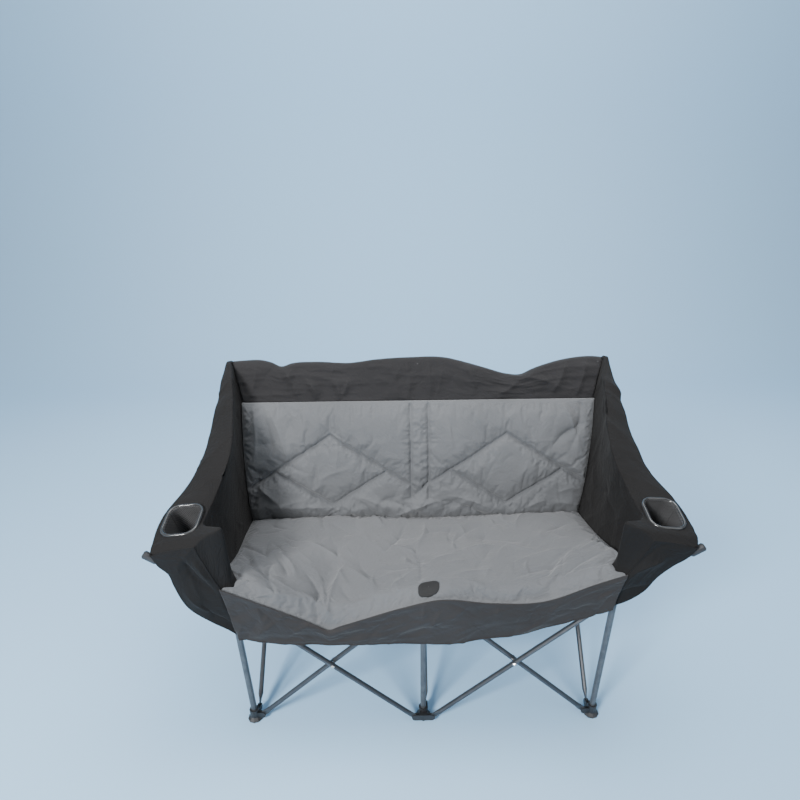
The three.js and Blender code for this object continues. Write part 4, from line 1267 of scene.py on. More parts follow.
@dataclass
class BackPad:
    """Grey padded back with one sewn diamond in each half and two seams at the middle."""

    finishes: Finishes
    seat: SeatPad
    top: float = 0.742
    pad: float = 0.024
    edge: float = 0.010
    top_half: float = 0.524
    low_z: float = 0.41
    tuck: float = 0.005
    bend_z: float = 0.636
    lean: float = 0.102 / 0.196
    post_room: float = 0.0094
    diamond: Span = (0.262, 0.556)
    reach: Span = (0.168, 0.101)
    roof_limit: Span = (1.5, -0.55)
    belly_limit: Span = (1.03, 0.03)
    seam: float = 0.0265
    seam_middle: float = 0.003
    seam_low: float = 0.47
    columns: int = 190
    rows: int = 66
    fold_keep: float = 0.335
    calm_run: float = 0.018
    pillow_run: float = 0.020
    pillow_power: float = 1.4
    pillow_least: float = 0.62
    inflation: Inflation = Inflation(pressure=2.5, slack=0.03)
    slack: Slack = Slack(23, ridge_run=((3.4, 2), (-2.5, 4.6)), ridge=0.0026,
                         fold_run=((9, 0), (0, 11)), fold=0.0018)
    sag: float = 0.005
    sag_z: float = 0.440
    sag_run: float = 0.030
    sag_pitch: Span = (7, 2)
    sewn_within: float = 0.005
    groove: float = 0.0075
    groove_run: float = 0.0045
    pucker: float = 0.0030
    pucker_run: float = 0.016
    pucker_pitch: float = 45.0
    pucker_seed: int = 29
    crease_gain: float = 1.3
    calm_rim: float = 0.02
    least: float = 0.004
    # Folds drawn from the border to the diamonds, and slack ones at the lower edge
    creases: tuple[Crease, ...] = crease_set(
        (-0.251, 0.745, -0.247, 0.660, -0.007, 0.010), (-0.242, 0.650, -0.250, 0.565, 0.004, 0.014),
        (-0.450, 0.742, -0.396, 0.620, 0.008, 0.011), (-0.470, 0.742, -0.432, 0.615, -0.008, 0.011),
        (-0.490, 0.742, -0.486, 0.604, 0.006, 0.010), (-0.410, 0.742, -0.370, 0.664, -0.006, 0.010),
        (-0.480, 0.544, -0.510, 0.440, -0.007, 0.011), (-0.490, 0.520, -0.424, 0.462, 0.008, 0.012),
        (-0.380, 0.450, -0.230, 0.436, 0.007, 0.012), (-0.080, 0.412, 0.070, 0.470, 0.009, 0.012),
        (0.060, 0.470, 0.200, 0.412, -0.009, 0.012), (0.040, 0.540, -0.022, 0.474, -0.008, 0.010),
        (0.423, 0.742, 0.468, 0.629, 0.009, 0.010), (0.398, 0.626, 0.480, 0.680, -0.010, 0.012),
        (0.481, 0.742, 0.452, 0.625, -0.008, 0.010), (0.424, 0.584, 0.510, 0.518, 0.009, 0.012),
        (0.270, 0.444, 0.292, 0.412, 0.007, 0.012), (0.130, 0.742, 0.198, 0.668, 0.006, 0.012),
        (0.058, 0.742, 0.110, 0.630, -0.006, 0.012), (-0.200, 0.742, -0.136, 0.634, 0.005, 0.012),
        (0.506, 0.640, 0.496, 0.440, 0.008, 0.012), (-0.110, 0.470, -0.020, 0.440, -0.007, 0.011),
        (-0.345, 0.560, -0.430, 0.600, -0.006, 0.011), (0.100, 0.480, 0.210, 0.444, 0.007, 0.011))
    scatters: tuple[Scatter, ...] = (
        Scatter(31, 50, x=(-0.49, 0.49), y=(0.43, 0.73), lean=1.4, height=0.0028),
        Scatter(32, 40, x=(-0.47, 0.47), y=(0.418, 0.48), lean=0.2, height=0.0040))

    def post_y(self, z: Values) -> Values:
        """Returns where the rear posts' middle line runs at a height."""
        return BAY + np.maximum(0, z - self.bend_z) * self.lean

    def rear_y(self, z: Values) -> Values:
        """Returns the pad's rear face, in front of the posts.

        Args:
            z: height.

        Returns:
            The depth behind the front posts.
        """
        low = SEAT_REAR + SEAM + self.edge
        limit = self.post_y(z) - self.post_room
        share = np.clip((z - self.low_z) / (self.top - self.low_z), 0, 1)
        curve = lerp(low, self.post_y(self.top) - self.post_room, share ** 2)
        return np.minimum(curve, limit)

    def bottom_z(self, x: Values) -> Values:
        """Returns the height of the lower edge, behind the seat's rear edge."""
        return self.seat.rear(x) - self.tuck

    def half_width(self, share: Values, side: Side) -> Values:
        """Returns half the pad's width at a share of its height."""
        low = float(self.seat.half_width(SEAT_REAR, side))
        return lerp(low, self.top_half, share)

    def seam_distance(self, x: np.ndarray, z: np.ndarray) -> np.ndarray:
        """Returns the distance to the nearest sewn line.

        Args:
            x: width, negative to the left.
            z: height.

        Returns:
            The distance, and 1 where no line is near.
        """
        across = np.abs(np.abs(x) - self.diamond[0]) / self.reach[0]
        up = (z - self.diamond[1]) / self.reach[1]
        length = math.hypot(1 / self.reach[0], 1 / self.reach[1])
        on_roof = (across < self.roof_limit[0]) & (up > self.roof_limit[1])
        on_belly = (across <= self.belly_limit[0]) & (up <= self.belly_limit[1])
        roof = np.where(on_roof, np.abs(across + up - 1) / length, 1.0)
        belly = np.where(on_belly, np.abs(across - up - 1) / length, 1.0)
        middle = np.where(z > self.seam_low, np.abs(np.abs(x - self.seam_middle) - self.seam), 1.0)
        return np.minimum(np.minimum(roof, belly), middle)

    def grids(self) -> tuple[np.ndarray, np.ndarray]:
        """Draws the pad before it is swollen.

        Returns:
            The front and the rear face as grids of points.
        """
        across = np.linspace(-1, 1, self.columns)
        up = np.linspace(0, 1, self.rows)[:, None]
        half = np.where(across < 0, self.half_width(up, Side.LEFT), self.half_width(up, Side.RIGHT))
        x = across * half
        z = lerp(self.bottom_z(x), self.top, up)
        rear = self.rear_y(z)
        rim = np.minimum((1 - np.abs(across)) * half, np.minimum(z - self.bottom_z(x), self.top - z))
        calm = 1 - np.exp(-rim / self.calm_run)
        swell = 1 - np.exp(-(self.seam_distance(x, z) / self.pillow_run) ** self.pillow_power)
        pillow = calm * lerp(self.pillow_least, 1, swell)
        uneven = 1.0 + Rumple(self.slack.seed).level(self.sag_pitch[0] * x, self.sag_pitch[1] * z)
        sag = np.exp(-((z - self.sag_z) / self.sag_run) ** 2) * uneven * self.sag
        puff = lerp(self.edge, self.pad, pillow) + (self.slack.over(x, z) + sag) * calm
        front = np.dstack([x, rear - puff + FRONT_ROW, z])
        base = np.dstack([x, rear + FRONT_ROW, z])
        return front, base

    def quilted(self, front: np.ndarray, base: np.ndarray) -> tuple[np.ndarray, np.ndarray]:
        """Returns finer grids of the front, with its sewn grooves and folds, and of the rear.

        Args:
            front: swollen front face.
            base: rear face.

        Returns:
            Both grids, with twice the steps.
        """
        front, base = refined(front), refined(base)
        x, z = front[..., 0], front[..., 2]
        seam = self.seam_distance(x, z)
        groove = np.exp(-(seam / self.groove_run) ** 2) * self.groove
        uneven = Rumple(self.pucker_seed).level(self.pucker_pitch * x, self.pucker_pitch * z)
        pucker = uneven * np.exp(-(seam / self.pucker_run) ** 2) * self.pucker
        folds = self.crease_gain * lifted(self.creases, self.scatters, x, z)
        front[..., 1] += (groove - pucker - folds) * smooth(0.0, self.calm_rim, rim_distance(front))
        front[..., 1] = np.minimum(front[..., 1], base[..., 1] - self.least)
        return front, base

    def build(self) -> Thing:
        """Swells the pad between its sewn lines and sets it on the rear centre post.

        Returns:
            The pad.
        """
        front, base = self.grids()
        sewn = self.seam_distance(front[..., 0], front[..., 2]) < self.sewn_within
        front = self.inflation.swell("back_whole", front, base, sewn)
        front, base = self.quilted(front, base)
        pad = cloth_mesh("back_pad_cloth", front, base)
        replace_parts(self.finishes.put_on(pad, Finish.GREY), "back_pad")
        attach(pad, "rear_centre_post")
        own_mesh(pad)
        return pad


# The black cloth

@dataclass
class TopBorder:
    """Black band pulled over the tops of the rear posts, gathered into small upright folds."""

    finishes: Finishes
    back: BackPad
    crest_line: tuple[Span, ...] = (
        (-0.556, 0.848), (-0.522, 0.850), (-0.465, 0.850), (-0.436, 0.843), (-0.411, 0.833), (-0.377, 0.841),
        (-0.307, 0.844), (-0.203, 0.840), (-0.127, 0.848), (-0.022, 0.853), (0.083, 0.851), (0.143, 0.838),
        (0.204, 0.822), (0.266, 0.806), (0.311, 0.804), (0.340, 0.816), (0.385, 0.830), (0.444, 0.843),
        (0.541, 0.848), (0.556, 0.846))
    half: float = 0.556
    thick: float = 0.027
    edge: float = 0.008
    top_power: int = 6
    end_gain: float = 40.0
    slack: Slack = Slack(41, ridge_run=((8, 0), (0.6, 4)), ridge=0.0016,
                         fold_run=((15, 2), (0, 6)), fold=0.0016)
    hollow: float = -0.0012
    fold_gain: float = 1.2
    calm_low: float = 0.10
    crest_share: float = 0.3
    rear_share: float = 0.6
    columns: int = 320
    rows: int = 44
    # Folds that pull down from the top edge
    tucks: tuple[Crease, ...] = crease_set(
        (-0.411, 0.835, -0.360, 0.760, 0.010, 0.012), (-0.330, 0.800, -0.300, 0.750, 0.011, 0.011),
        (-0.250, 0.795, -0.232, 0.748, 0.012, 0.010), (-0.210, 0.800, -0.222, 0.760, 0.009, 0.010),
        (-0.480, 0.840, -0.500, 0.760, 0.007, 0.012), (-0.030, 0.845, -0.030, 0.745, 0.006, 0.012),
        (0.030, 0.845, 0.034, 0.745, 0.006, 0.012), (0.270, 0.800, 0.420, 0.775, 0.010, 0.013),
        (0.300, 0.790, 0.230, 0.755, 0.009, 0.012), (0.440, 0.835, 0.400, 0.760, 0.010, 0.012),
        (0.500, 0.840, 0.470, 0.750, 0.008, 0.012), (0.140, 0.835, 0.170, 0.770, 0.007, 0.014))
    scatters: tuple[Scatter, ...] = (Scatter(51, 50, x=(-0.53, 0.53), y=(0.75, 0.835),
                                             lean=1.5, height=0.0034),)

    def __post_init__(self) -> None:
        """Draws the top edge."""
        self.crest = Profile(self.crest_line)

    def build(self) -> Thing:
        """Makes the band as a closed sleeve over the posts.

        Returns:
            The band.
        """
        across = np.linspace(-1, 1, self.columns)
        up = np.linspace(0, 1, self.rows)[:, None]
        x = across * lerp(self.back.top_half, self.half, up)
        z = lerp(self.back.top + SEAM, self.crest(x), up)
        ends = np.clip((1 - across ** 2) * self.end_gain, 0, 1) ** 0.5
        bulge = np.sqrt(np.clip(1 - up ** self.top_power, 0, 1)) * ends
        half = lerp(self.edge, self.thick, bulge) / 2
        folds = np.maximum(self.slack.over(x, up) + lifted(self.tucks, self.scatters, x, z), self.hollow)
        folds = folds * np.clip(bulge * self.fold_gain, 0, 1) * smooth(0, self.calm_low, up)
        y = self.back.post_y(z) + FRONT_ROW
        front = np.dstack([x, y - half - folds, z + self.crest_share * folds * up])
        rear = np.dstack([x, y + half + self.rear_share * folds, z])
        band = cloth_mesh("top_border_cloth", front, rear)
        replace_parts(self.finishes.put_on(band, Finish.BLACK), "top_border")
        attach(band, "rear_centre_post")
        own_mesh(band)
        return band


@dataclass
class FrontValance:
    """Black cloth that hangs from the seat's front edge to a turned hem."""

    finishes: Finishes
    seat: SeatPad
    centre_z: float = 0.308
    rise: Span = (0.026, 0.112)
    hem_half: Span = (0.450, 0.446)
    hem_radius: float = 0.0026
    cloth: float = 0.0024
    gap: float = 0.0048
    waves: int = 5
    wave: float = 0.0022
    drag: float = 0.004
    drag_x: float = -0.231
    drag_run: float = 0.03
    hollow: float = -0.002
    calm_top: float = 0.15
    fold_keep: float = 0.18
    slack: Slack = Slack(61, ridge_run=((5, 1.5), (1, 2.0)), ridge=0.0028,
                         fold_run=((11, 0), (0, 4)), fold=0.0016)
    scatters: tuple[Scatter, ...] = (Scatter(71, 90, x=(-0.45, 0.45), y=(0.30, 0.46),
                                             lean=0.7, height=0.0050),)
    columns: int = 320
    rows: int = 40

    def hem_z(self, x: Values) -> np.ndarray:
        """Returns the height of the hem."""
        share = np.abs(x) / BAY
        return self.centre_z + np.where(x < 0, self.rise[0] * share ** 4, self.rise[1] * share ** 2)

    def build(self) -> Thing:
        """Makes the hanging cloth and its hem.

        Returns:
            The valance.
        """
        across = np.linspace(-1, 1, self.columns)
        down = np.linspace(0, 1, self.rows)[:, None]
        side = np.where(across < 0, Side.LEFT.index, Side.RIGHT.index)
        head = across * np.array([float(self.seat.half_width(SEAT_FRONT, half)) for half in Side])[side]
        x = lerp(head, across * np.array(self.hem_half)[side], down)
        z = lerp(self.seat.front(head) + self.seat.edge, self.hem_z(x), down)
        wave = self.wave * (1 + np.sin(self.waves * math.pi * across)) * down
        drag = np.exp(-((x - self.drag_x) / self.drag_run) ** 2) * self.drag
        folds = self.slack.over(x, down) + drag + lifted((), self.scatters, x, z)
        y = SEAT_FRONT - self.gap - wave - np.maximum(folds, self.hollow) * smooth(0, self.calm_top, down)
        face = np.dstack([x, y + FRONT_ROW, z])
        drop = thicken(cloth_mesh("front_valance_cloth", face), self.cloth)
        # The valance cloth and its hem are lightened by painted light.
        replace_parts(self.finishes.put_on(drop, Finish.VALANCE_PAINTED_LIGHT_BLACK), "front_valance")
        hem = welt_mesh("front_valance_hem", face[-1], self.hem_radius)
        self.finishes.put_on(hem, Finish.VALANCE_PAINTED_LIGHT_BLACK)
        for piece in (drop, hem):
            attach(piece, "hub_front_centre")
            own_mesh(piece)
        return drop


@dataclass
class Wing:
    """Black side wing: inner panel, armrest and outer skirt in one skin, with a front gusset.

    Both wings are drawn right-handed, and the left one is flipped over. Where a field is a pair of seeds,
    edges or folds, its values are for the left and the right wing.
    """

    finishes: Finishes
    seat: SeatPad
    back: BackPad
    border: TopBorder
    valance: FrontValance
    side: Side
    top_x: float = 0.5554
    top_z: float = 0.847
    top_post_z: float = 0.832
    arm_inner_x: float = 0.518
    arm_inner_z: float = 0.608
    arm_outer: Span = (0.626, 0.588)
    tip_setback: float = 0.022
    tip_drop: float = 0.004
    mid_x: float = 0.562
    skirt_x: float = 0.556
    skirt_z: float = 0.400
    skirt_point: int = 4
    fold_travel: float = 0.3663
    cut_y: float = 0.150
    cloth: float = 0.0026
    rows: int = 150
    columns: tuple[int, int, int] = (44, 30, 36)
    # Where the skin is sewn to the seat and the back, and how it bulges between its edges
    low_x: float = 0.49
    pad_gap: float = 0.001
    border_gap: float = 0.0005
    seam_depth: float = 0.006
    tuck: Triple = (0, 0, -0.014)
    rear_tuck: Triple = (-0.006, 0.010, 0.0)
    inner_bulge: Triple = (0.005, 0, 0)
    arm_bulge: Triple = (0, 0, 0.004)
    skirt_bulge: float = 0.007
    skirt_run: Span = (0, 0.2)
    back_run: Span = (0.72, 1.0)
    drop_run: Span = (0.30, 0.0)
    # The sleeve over the front post
    post_reach: float = 0.0135
    post_top: float = 0.627
    sleeve_half: float = 0.023
    sleeve_x: Span = (0.545, 0.505)
    sleeve_z: Span = (0.44, 0.49)
    sleeve_top: float = 0.66
    cap_z: Span = (0.575, 0.602)
    dip: float = 0.010
    dip_y: Span = (-0.008, SEAT_FRONT)
    dip_z: Span = (0.54, 0.59)
    # Slack folds, and how far from an edge they start
    slack_seeds: tuple[int, int] = (83, 97)
    scatter_seeds: tuple[int, int] = (139, 141)
    calm_sides: Span = (0.04, 0.02)
    calm_ends: float = 0.03
    calm_cup: Span = (0.05, 0.09)
    # The cup holder
    rim_samples: int = 201
    cup_x: float = 0.56
    cup_y: float = 0.052
    ring: Triple = (0.088, 0.104, 0.030)
    ring_from_rim: float = 0.058
    ring_lift: float = 0.003
    ring_band: float = 0.007
    ring_height: float = 0.007
    ring_facets: int = 72
    ring_mould: tuple[Span, ...] = (
        (0.0, 0.0), (0.0, 0.6), (0.18, 0.92), (0.5, 1.05), (0.82, 0.92), (1.0, 0.6), (1.0, -0.7), (0.8, -0.8),
        (0.4, -0.3))
    net_levels: tuple[Span, ...] = (
        (0.005, 1.0), (0.0, 1.0), (-0.03, 0.985), (-0.06, 0.93), (-0.09, 0.83), (-0.104, 0.72), (-0.107, 0.5),
        (-0.108, 0.1))
    net_gap: float = 0.001
    net_cloth: float = 0.0012
    opening_lap: float = 0.003
    opening_depth: float = 0.03
    opening_edge: float = 0.007
    opening_facets: int = 200
    # The gusset at the front: its outer edge below the arm tip, and its folds
    edges: tuple[tuple[Span, ...], tuple[Span, ...]] = (
        ((0.603, 0.546), (0.584, 0.522), (0.579, 0.492), (0.557, 0.422), (0.510, 0.378), (0.469, 0.349)),
        ((0.600, 0.552), (0.568, 0.526), (0.538, 0.494), (0.516, 0.456), (0.477, 0.424)))
    gusset_run: Span = (0.015, 0.985)
    gusset_steps: tuple[int, int] = (96, 44)
    gusset_seeds: tuple[int, int] = (130, 132)
    gusset_puff: float = 0.035
    gusset_rumple: float = 0.02
    gusset_pitch: Span = (5, 2.5)
    gusset_calm: float = 0.15
    gusset_gap: float = 0.0015
    gusset_hollow: float = -0.004
    gusset_folds: tuple[tuple[Crease, ...], tuple[Crease, ...]] = (
        crease_set((0.540, 0.556, 0.492, 0.478, -0.016, 0.009), (0.520, 0.562, 0.462, 0.480, 0.010, 0.014),
                   (0.520, 0.440, 0.450, 0.350, -0.012, 0.011), (0.552, 0.470, 0.490, 0.400, 0.009, 0.014)),
        crease_set((0.462, 0.535, 0.535, 0.585, -0.014, 0.010), (0.470, 0.505, 0.540, 0.545, 0.011, 0.013),
                   (0.440, 0.425, 0.512, 0.470, -0.012, 0.010), (0.455, 0.460, 0.475, 0.520, 0.010, 0.012)))

    def __post_init__(self) -> None:
        """Draws the gusset's outer edge, and then the guide lines of the skin."""
        path = self.front_path()
        self.front_edge = GuideCurve(path)
        self.skirt_share = self.skirt_point / (len(path) - 1)
        self.guides = self.guide_lines()

    def tip(self) -> Triple:
        """Returns the outer front corner of the armrest."""
        return (self.arm_outer[0] - self.tip_setback / 2, SEAT_FRONT, self.arm_outer[1] - self.tip_drop)

    def front_path(self) -> list[Triple]:
        """Lists the points of the gusset's outer edge.

        Returns:
            The points, from the arm tip down to the valance's hem.
        """
        end_x = self.valance.hem_half[self.side.index]
        end_z = float(self.valance.hem_z(np.array(self.side.value * end_x)))
        return [self.tip(), *((x, SEAT_FRONT, z) for x, z in (*self.edges[self.side.index], (end_x, end_z)))]

    def guide_lines(self) -> dict[str, GuideCurve]:
        """Draws the lines that the skin is stretched between.

        Returns:
            The rim's inner and outer line and the hem, from the top of the back to the arm tip.
        """
        x, z = self.top_x, self.top_z
        y = float(self.back.post_y(self.top_post_z))
        inner_x, inner_z = self.arm_inner_x, self.arm_inner_z
        outer_x, outer_z = self.arm_outer
        return {
            "inner": GuideCurve([
                (x, y - 0.008, z),
                (BAY + 0.046, y * 0.68, lerp(inner_z, z, 0.72)),
                (BAY + 0.022, y * 0.36, lerp(inner_z, z, 0.34)),
                (inner_x - 0.008, 0.084, inner_z + 0.014),
                (inner_x, SEAT_FRONT, inner_z - 0.004)]),
            "outer": GuideCurve([
                (x + 0.016, y + 0.003, z),
                (self.mid_x + 0.002, y * 0.68, lerp(outer_z, z, 0.66)),
                (self.mid_x + 0.008, y * 0.38, lerp(outer_z, z, 0.32)),
                (outer_x - 0.006, self.cup_y, lerp(outer_z, z, 0.07)),
                self.tip()]),
            "hem": GuideCurve([
                (self.skirt_x - 0.006, BAY - 0.020, self.skirt_z + 0.040),
                (self.skirt_x, BAY * 0.6, self.skirt_z),
                (self.skirt_x + 0.004, BAY * 0.3, self.skirt_z),
                self.front_edge(self.skirt_share)]),
        }

    def seam(self, share: float) -> np.ndarray:
        """Returns where the wing is sewn to the seat's side.

        Args:
            share: 0 at the seat's front and 1 at its rear.

        Returns:
            The place.
        """
        y = lerp(SEAT_FRONT, SEAT_REAR, share)
        x = float(self.seat.half_width(y, self.side))
        z = float(self.seat.base_z(np.array(self.side.value * x), np.array(y)))
        return np.array([x + SEAM, y, z + self.seat.edge / 2])

    def back_edge(self, share: float) -> np.ndarray:
        """Returns where the inner panel is sewn to the side of the back pad and of the top border.

        Args:
            share: 0 at the pad's lower edge and 1 at the border's top.

        Returns:
            The place.
        """
        low = float(self.back.bottom_z(np.array(self.side.value * self.low_x)))
        z = lerp(low, self.top_z, share)
        if z < self.back.top:
            up = (z - low) / (self.back.top - low)
            x = float(self.back.half_width(up, self.side)) + self.pad_gap
            y = float(self.back.rear_y(z))
        else:
            rise = (z - self.back.top) / (self.top_z - self.back.top)
            x = lerp(self.back.top_half, self.border.half, rise) + self.border_gap
            y = float(self.back.post_y(z))
        return np.array([x, y - self.seam_depth, z])

    def skin(self) -> np.ndarray:
        """Draws the skin between its guide lines.

        Returns:
            The grid of points, front to rear and seat to hem.
        """
        inner_run, arm_run = (np.linspace(0, 1, count, endpoint=False) for count in self.columns[:2])
        skirt_run = np.linspace(0, 1, self.columns[2])
        drop = np.array([self.front_edge(self.skirt_share * t) for t in skirt_run])
        drop = drop - lerp(drop[0], drop[-1], skirt_run[:, None])
        sewn = np.array([self.back_edge(t) for t in inner_run])
        rows = []
        for share in np.linspace(0, 1, self.rows):
            seat = self.seam(share)
            inner, outer, hem = (self.guides[word](1 - share) for word in ("inner", "outer", "hem"))
            free = bulged(seat, inner, inner_run, self.inner_bulge)
            panel = lerp(free, sewn, float(smooth(*self.back_run, share)))
            arm = bulged(inner, outer, arm_run, self.arm_bulge)
            skirt = bulged(outer, hem, skirt_run, (self.skirt_bulge * smooth(*self.skirt_run, share), 0, 0))
            skirt = skirt + drop * float(smooth(*self.drop_run, share))
            rows.append(np.concatenate([[seat + np.array(self.tuck)], panel, arm, skirt]))
        rows.append(rows[-1] + np.array(self.rear_tuck))
        return self.sleeved(self.rumpled(np.array(rows)))

    def sleeved(self, skin: np.ndarray) -> np.ndarray:
        """Draws the skin inwards over the front post, which stands in it as in a sleeve.

        Args:
            skin: grid of the skin.

        Returns:
            The new grid.
        """
        x, y, z = skin[..., 0], skin[..., 1], skin[..., 2]
        near = np.exp(-(y / self.sleeve_half) ** 2)
        draw = near * smooth(*self.sleeve_x, x) * smooth(*self.sleeve_z, z) * (z < self.sleeve_top)
        out = skin.copy()
        out[..., 0] = lerp(x, np.minimum(x, BAY - self.post_reach), draw)
        out[..., 2] = lerp(z, np.maximum(z, self.post_top), draw * smooth(*self.cap_z, z))
        out[..., 2] -= self.dip * smooth(*self.dip_y, y) ** 2 * smooth(*self.dip_z, z)
        return out

    def rumpled(self, skin: np.ndarray) -> np.ndarray:
        """Gives the skin slack folds, calm at its sewn edges and round the cup.

        Args:
            skin: grid of the skin.

        Returns:
            The new grid.
        """
        k = self.side.index
        u, v = np.moveaxis(lengths_of(skin), 2, 0)
        slack = Slack(self.slack_seeds[k], ridge_run=((3.2, 1.5), (0, 4.2)), ridge=0.0030,
                      fold_run=((9, 0), (0, 7)), fold=0.0018)
        strewn = Scatter(self.scatter_seeds[k], 60, x=(0.02, 0.6), y=(0.03, 0.6), lean=1.0, height=0.0034)
        fold = slack.over(u, v) + lifted((), (strewn,), u, v)
        calm = smooth(0, self.calm_sides[0], u) * smooth(0, self.calm_ends, v)
        calm = calm * smooth(0, self.calm_ends, v[-1] - v) * smooth(0, self.calm_sides[1], u[:, -1:] - u)
        from_cup = np.hypot(skin[..., 0] - self.cup_x, skin[..., 1] - self.cup_y)
        calm = calm * smooth(*self.calm_cup, from_cup)
        return skin + normals_of(skin) * (fold * calm)[..., None]

    def rim_place(self, word: str, y: float) -> np.ndarray:
        """Returns the place at a depth on one of the guide lines."""
        line = np.array([self.guides[word](share) for share in np.linspace(0, 1, self.rim_samples)])
        return line[int(np.argmin(np.abs(line[:, 1] - y)))]

    def cup_frame(self) -> tuple[np.ndarray, np.ndarray]:
        """Finds how the cup ring lies on the armrest.

        Returns:
            The ring's axes, as columns, and its middle.
        """
        inner, outer = (self.rim_place(word, self.cup_y) for word in ("inner", "outer"))
        across = outer - inner
        across[1] = 0
        across /= np.linalg.norm(across)
        front, rear = self.cup_y - self.ring[1] / 2, self.cup_y + self.ring[1] / 2
        slope = sum(self.rim_place(word, rear) - self.rim_place(word, front) for word in ("inner", "outer"))
        along = np.array([0, 1, slope[2] / slope[1]])
        along -= along.dot(across) * across
        along /= np.linalg.norm(along)
        up = np.cross(across, along)
        middle = outer - across * self.ring_from_rim + up * self.ring_lift
        return np.stack([across, along, up], axis=1), middle

    def opened(self, skin: np.ndarray) -> tuple[np.ndarray, np.ndarray]:
        """Opens the skin inside the cup ring.

        Args:
            skin: grid of the skin.

        Returns:
            The grid with the opening's edge drawn on to the ring, and whether each cell lies inside it.
        """
        axes, middle = self.cup_frame()
        half = np.array(self.ring[:2]) / 2 - self.opening_lap
        corner = self.ring[2] - self.opening_lap
        local = (skin - middle) @ axes
        past = np.abs(local[..., :2]) - (half - corner)
        away = np.linalg.norm(np.maximum(past, 0), axis=2) + np.minimum(past.max(axis=2), 0) - corner
        inside = (away < 0) & (np.abs(local[..., 2]) < self.opening_depth)
        near = inside & (away > -self.opening_edge)
        outline = rounded_outline(*(2 * half), corner, self.opening_facets)
        for row, column in np.argwhere(near):
            gap = np.linalg.norm(outline - local[row, column, :2], axis=1)
            local[row, column, :2] = outline[np.argmin(gap)]
        cells = inside[:-1, :-1] & inside[1:, :-1] & inside[:-1, 1:] & inside[1:, 1:]
        return np.where(near[..., None], local @ axes.T + middle, skin), cells

    def flipped(self, grid: np.ndarray) -> np.ndarray:
        """Returns a right-handed grid on its own side, faces kept outwards, in the chair's frame."""
        placed = grid + np.array([0, FRONT_ROW, 0])
        return placed if self.side is Side.RIGHT else (placed * np.array([-1.0, 1.0, 1.0]))[:, ::-1]

    def gusset(self, skin: np.ndarray) -> np.ndarray:
        """Draws the front gusset between the skin's front edge and the gusset's outer edge.

        Args:
            skin: grid of the skin.

        Returns:
            The grid of points, from the hem up and from the skin outwards.
        """
        k = self.side.index
        row_count, column_count = self.gusset_steps
        upper = np.concatenate([[self.front_edge(1.0)], skin[0, 1:sum(self.columns[:2]) + 2]])
        run = np.concatenate([[0], np.cumsum(np.linalg.norm(np.diff(upper, axis=0), axis=1))])
        rumple = Rumple(self.gusset_seeds[k])
        t = np.linspace(0, 1, column_count)
        calm = smooth(0, self.gusset_calm, t) * smooth(1, 1 - self.gusset_calm, t)
        rows = []
        for share in np.linspace(*self.gusset_run, row_count):
            start = np.array([np.interp(share * run[-1], run, upper[:, axis]) for axis in range(3)])
            end = self.front_edge(1 - share)
            row = lerp(start, end, t[:, None])
            wide = np.linalg.norm(end - start)
            uneven = rumple.creases(self.gusset_pitch[0] * share, self.gusset_pitch[1] * t)
            puff = arch(t) * (self.gusset_puff * wide + self.gusset_rumple * wide * uneven)
            fold = lifted(self.gusset_folds[k], (), row[:, 0], row[:, 2]) * calm
            row[:, 1] -= self.gusset_gap + np.maximum(puff + fold, self.gusset_hollow * np.sin(math.pi * t))
            rows.append(row)
        return np.array(rows)

    def build(self) -> list[Thing]:
        """Makes the wing's parts for one side.

        Returns:
            The part with the armrest, the part along the back, the gusset, and the cup's ring and net.
        """
        word = self.side.word
        skin, cells = self.opened(self.skin())
        row = int(np.argmin(np.abs(skin[:, 0, 1] - self.cut_y)))
        whole, gusset = self.flipped(skin), self.flipped(self.gusset(skin))
        cells = cells if self.side is Side.RIGHT else cells[:, ::-1]
        shading, gusset_shading = normals_of(whole), normals_of(gusset)
        parts = []
        for label, placed, normals, gaps, body in (
                ("arm", whole[:row + 1], shading[:row + 1], cells[:row], f"front_{word}_post"),
                ("side", whole[row:], shading[row:], None, f"rear_{word}_post"),
                ("gusset", gusset, gusset_shading, None, f"front_{word}_post")):
            part = cloth_mesh(f"wing_{label}_{word}", placed, placed - self.cloth * normals, normals, gaps)
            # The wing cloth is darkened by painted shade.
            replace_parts(self.finishes.put_on(part, Finish.WING_PAINTED_SHADE_BLACK), f"wing_{word}")
            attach(part, body)
            parts.append(part)
        top_y = float(self.back.post_y(self.top_post_z)) + self.seam_depth
        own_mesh(parts[1])
        return parts + self.cup()

    def cup_grids(self) -> tuple[np.ndarray, np.ndarray]:
        """Draws the cup holder about its own middle.

        Returns:
            The ring and the net pocket as grids of points.
        """
        width, length, corner = self.ring
        band, count = self.ring_band, self.ring_facets
        ring = []
        for inset, lift in (*self.ring_mould, self.ring_mould[0]):
            in_by = band * inset
            line = rounded_outline(width - 2 * in_by, length - 2 * in_by, corner - in_by, count)
            ring.append(closed_ring(line, lift * self.ring_height))
        mouth = (width - 2 * band - self.net_gap, length - 2 * band - self.net_gap)
        line = rounded_outline(*mouth, corner - band, count)
        net = [closed_ring(line * scale, lift) for lift, scale in self.net_levels]
        return np.array(ring), np.array(net)

    def cup(self) -> list[Thing]:
        """Makes the cup's ring and its net pocket.

        Returns:
            The ring and the pocket.
        """
        word = self.side.word
        axes, middle = self.cup_frame()
        ring, net = (self.flipped(grid @ axes.T + middle) for grid in self.cup_grids())
        made = []
        for name, placed, finish, slot, node in (
                (f"cup_ring_moulded_{word}", ring, Finish.RING, "ring_plastic", f"cup_ring_{word}"),
                (f"cup_net_{word}", net, Finish.NET, "pocket_mesh", f"cup_pocket_{word}")):
            piece = self.finishes.put_on(cloth_mesh(name, placed), finish)
            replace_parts(piece, node)
            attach(piece, f"front_{word}_post")
            made.append(piece)
        thicken(made[1], self.net_cloth)
        return made


# The bare frame

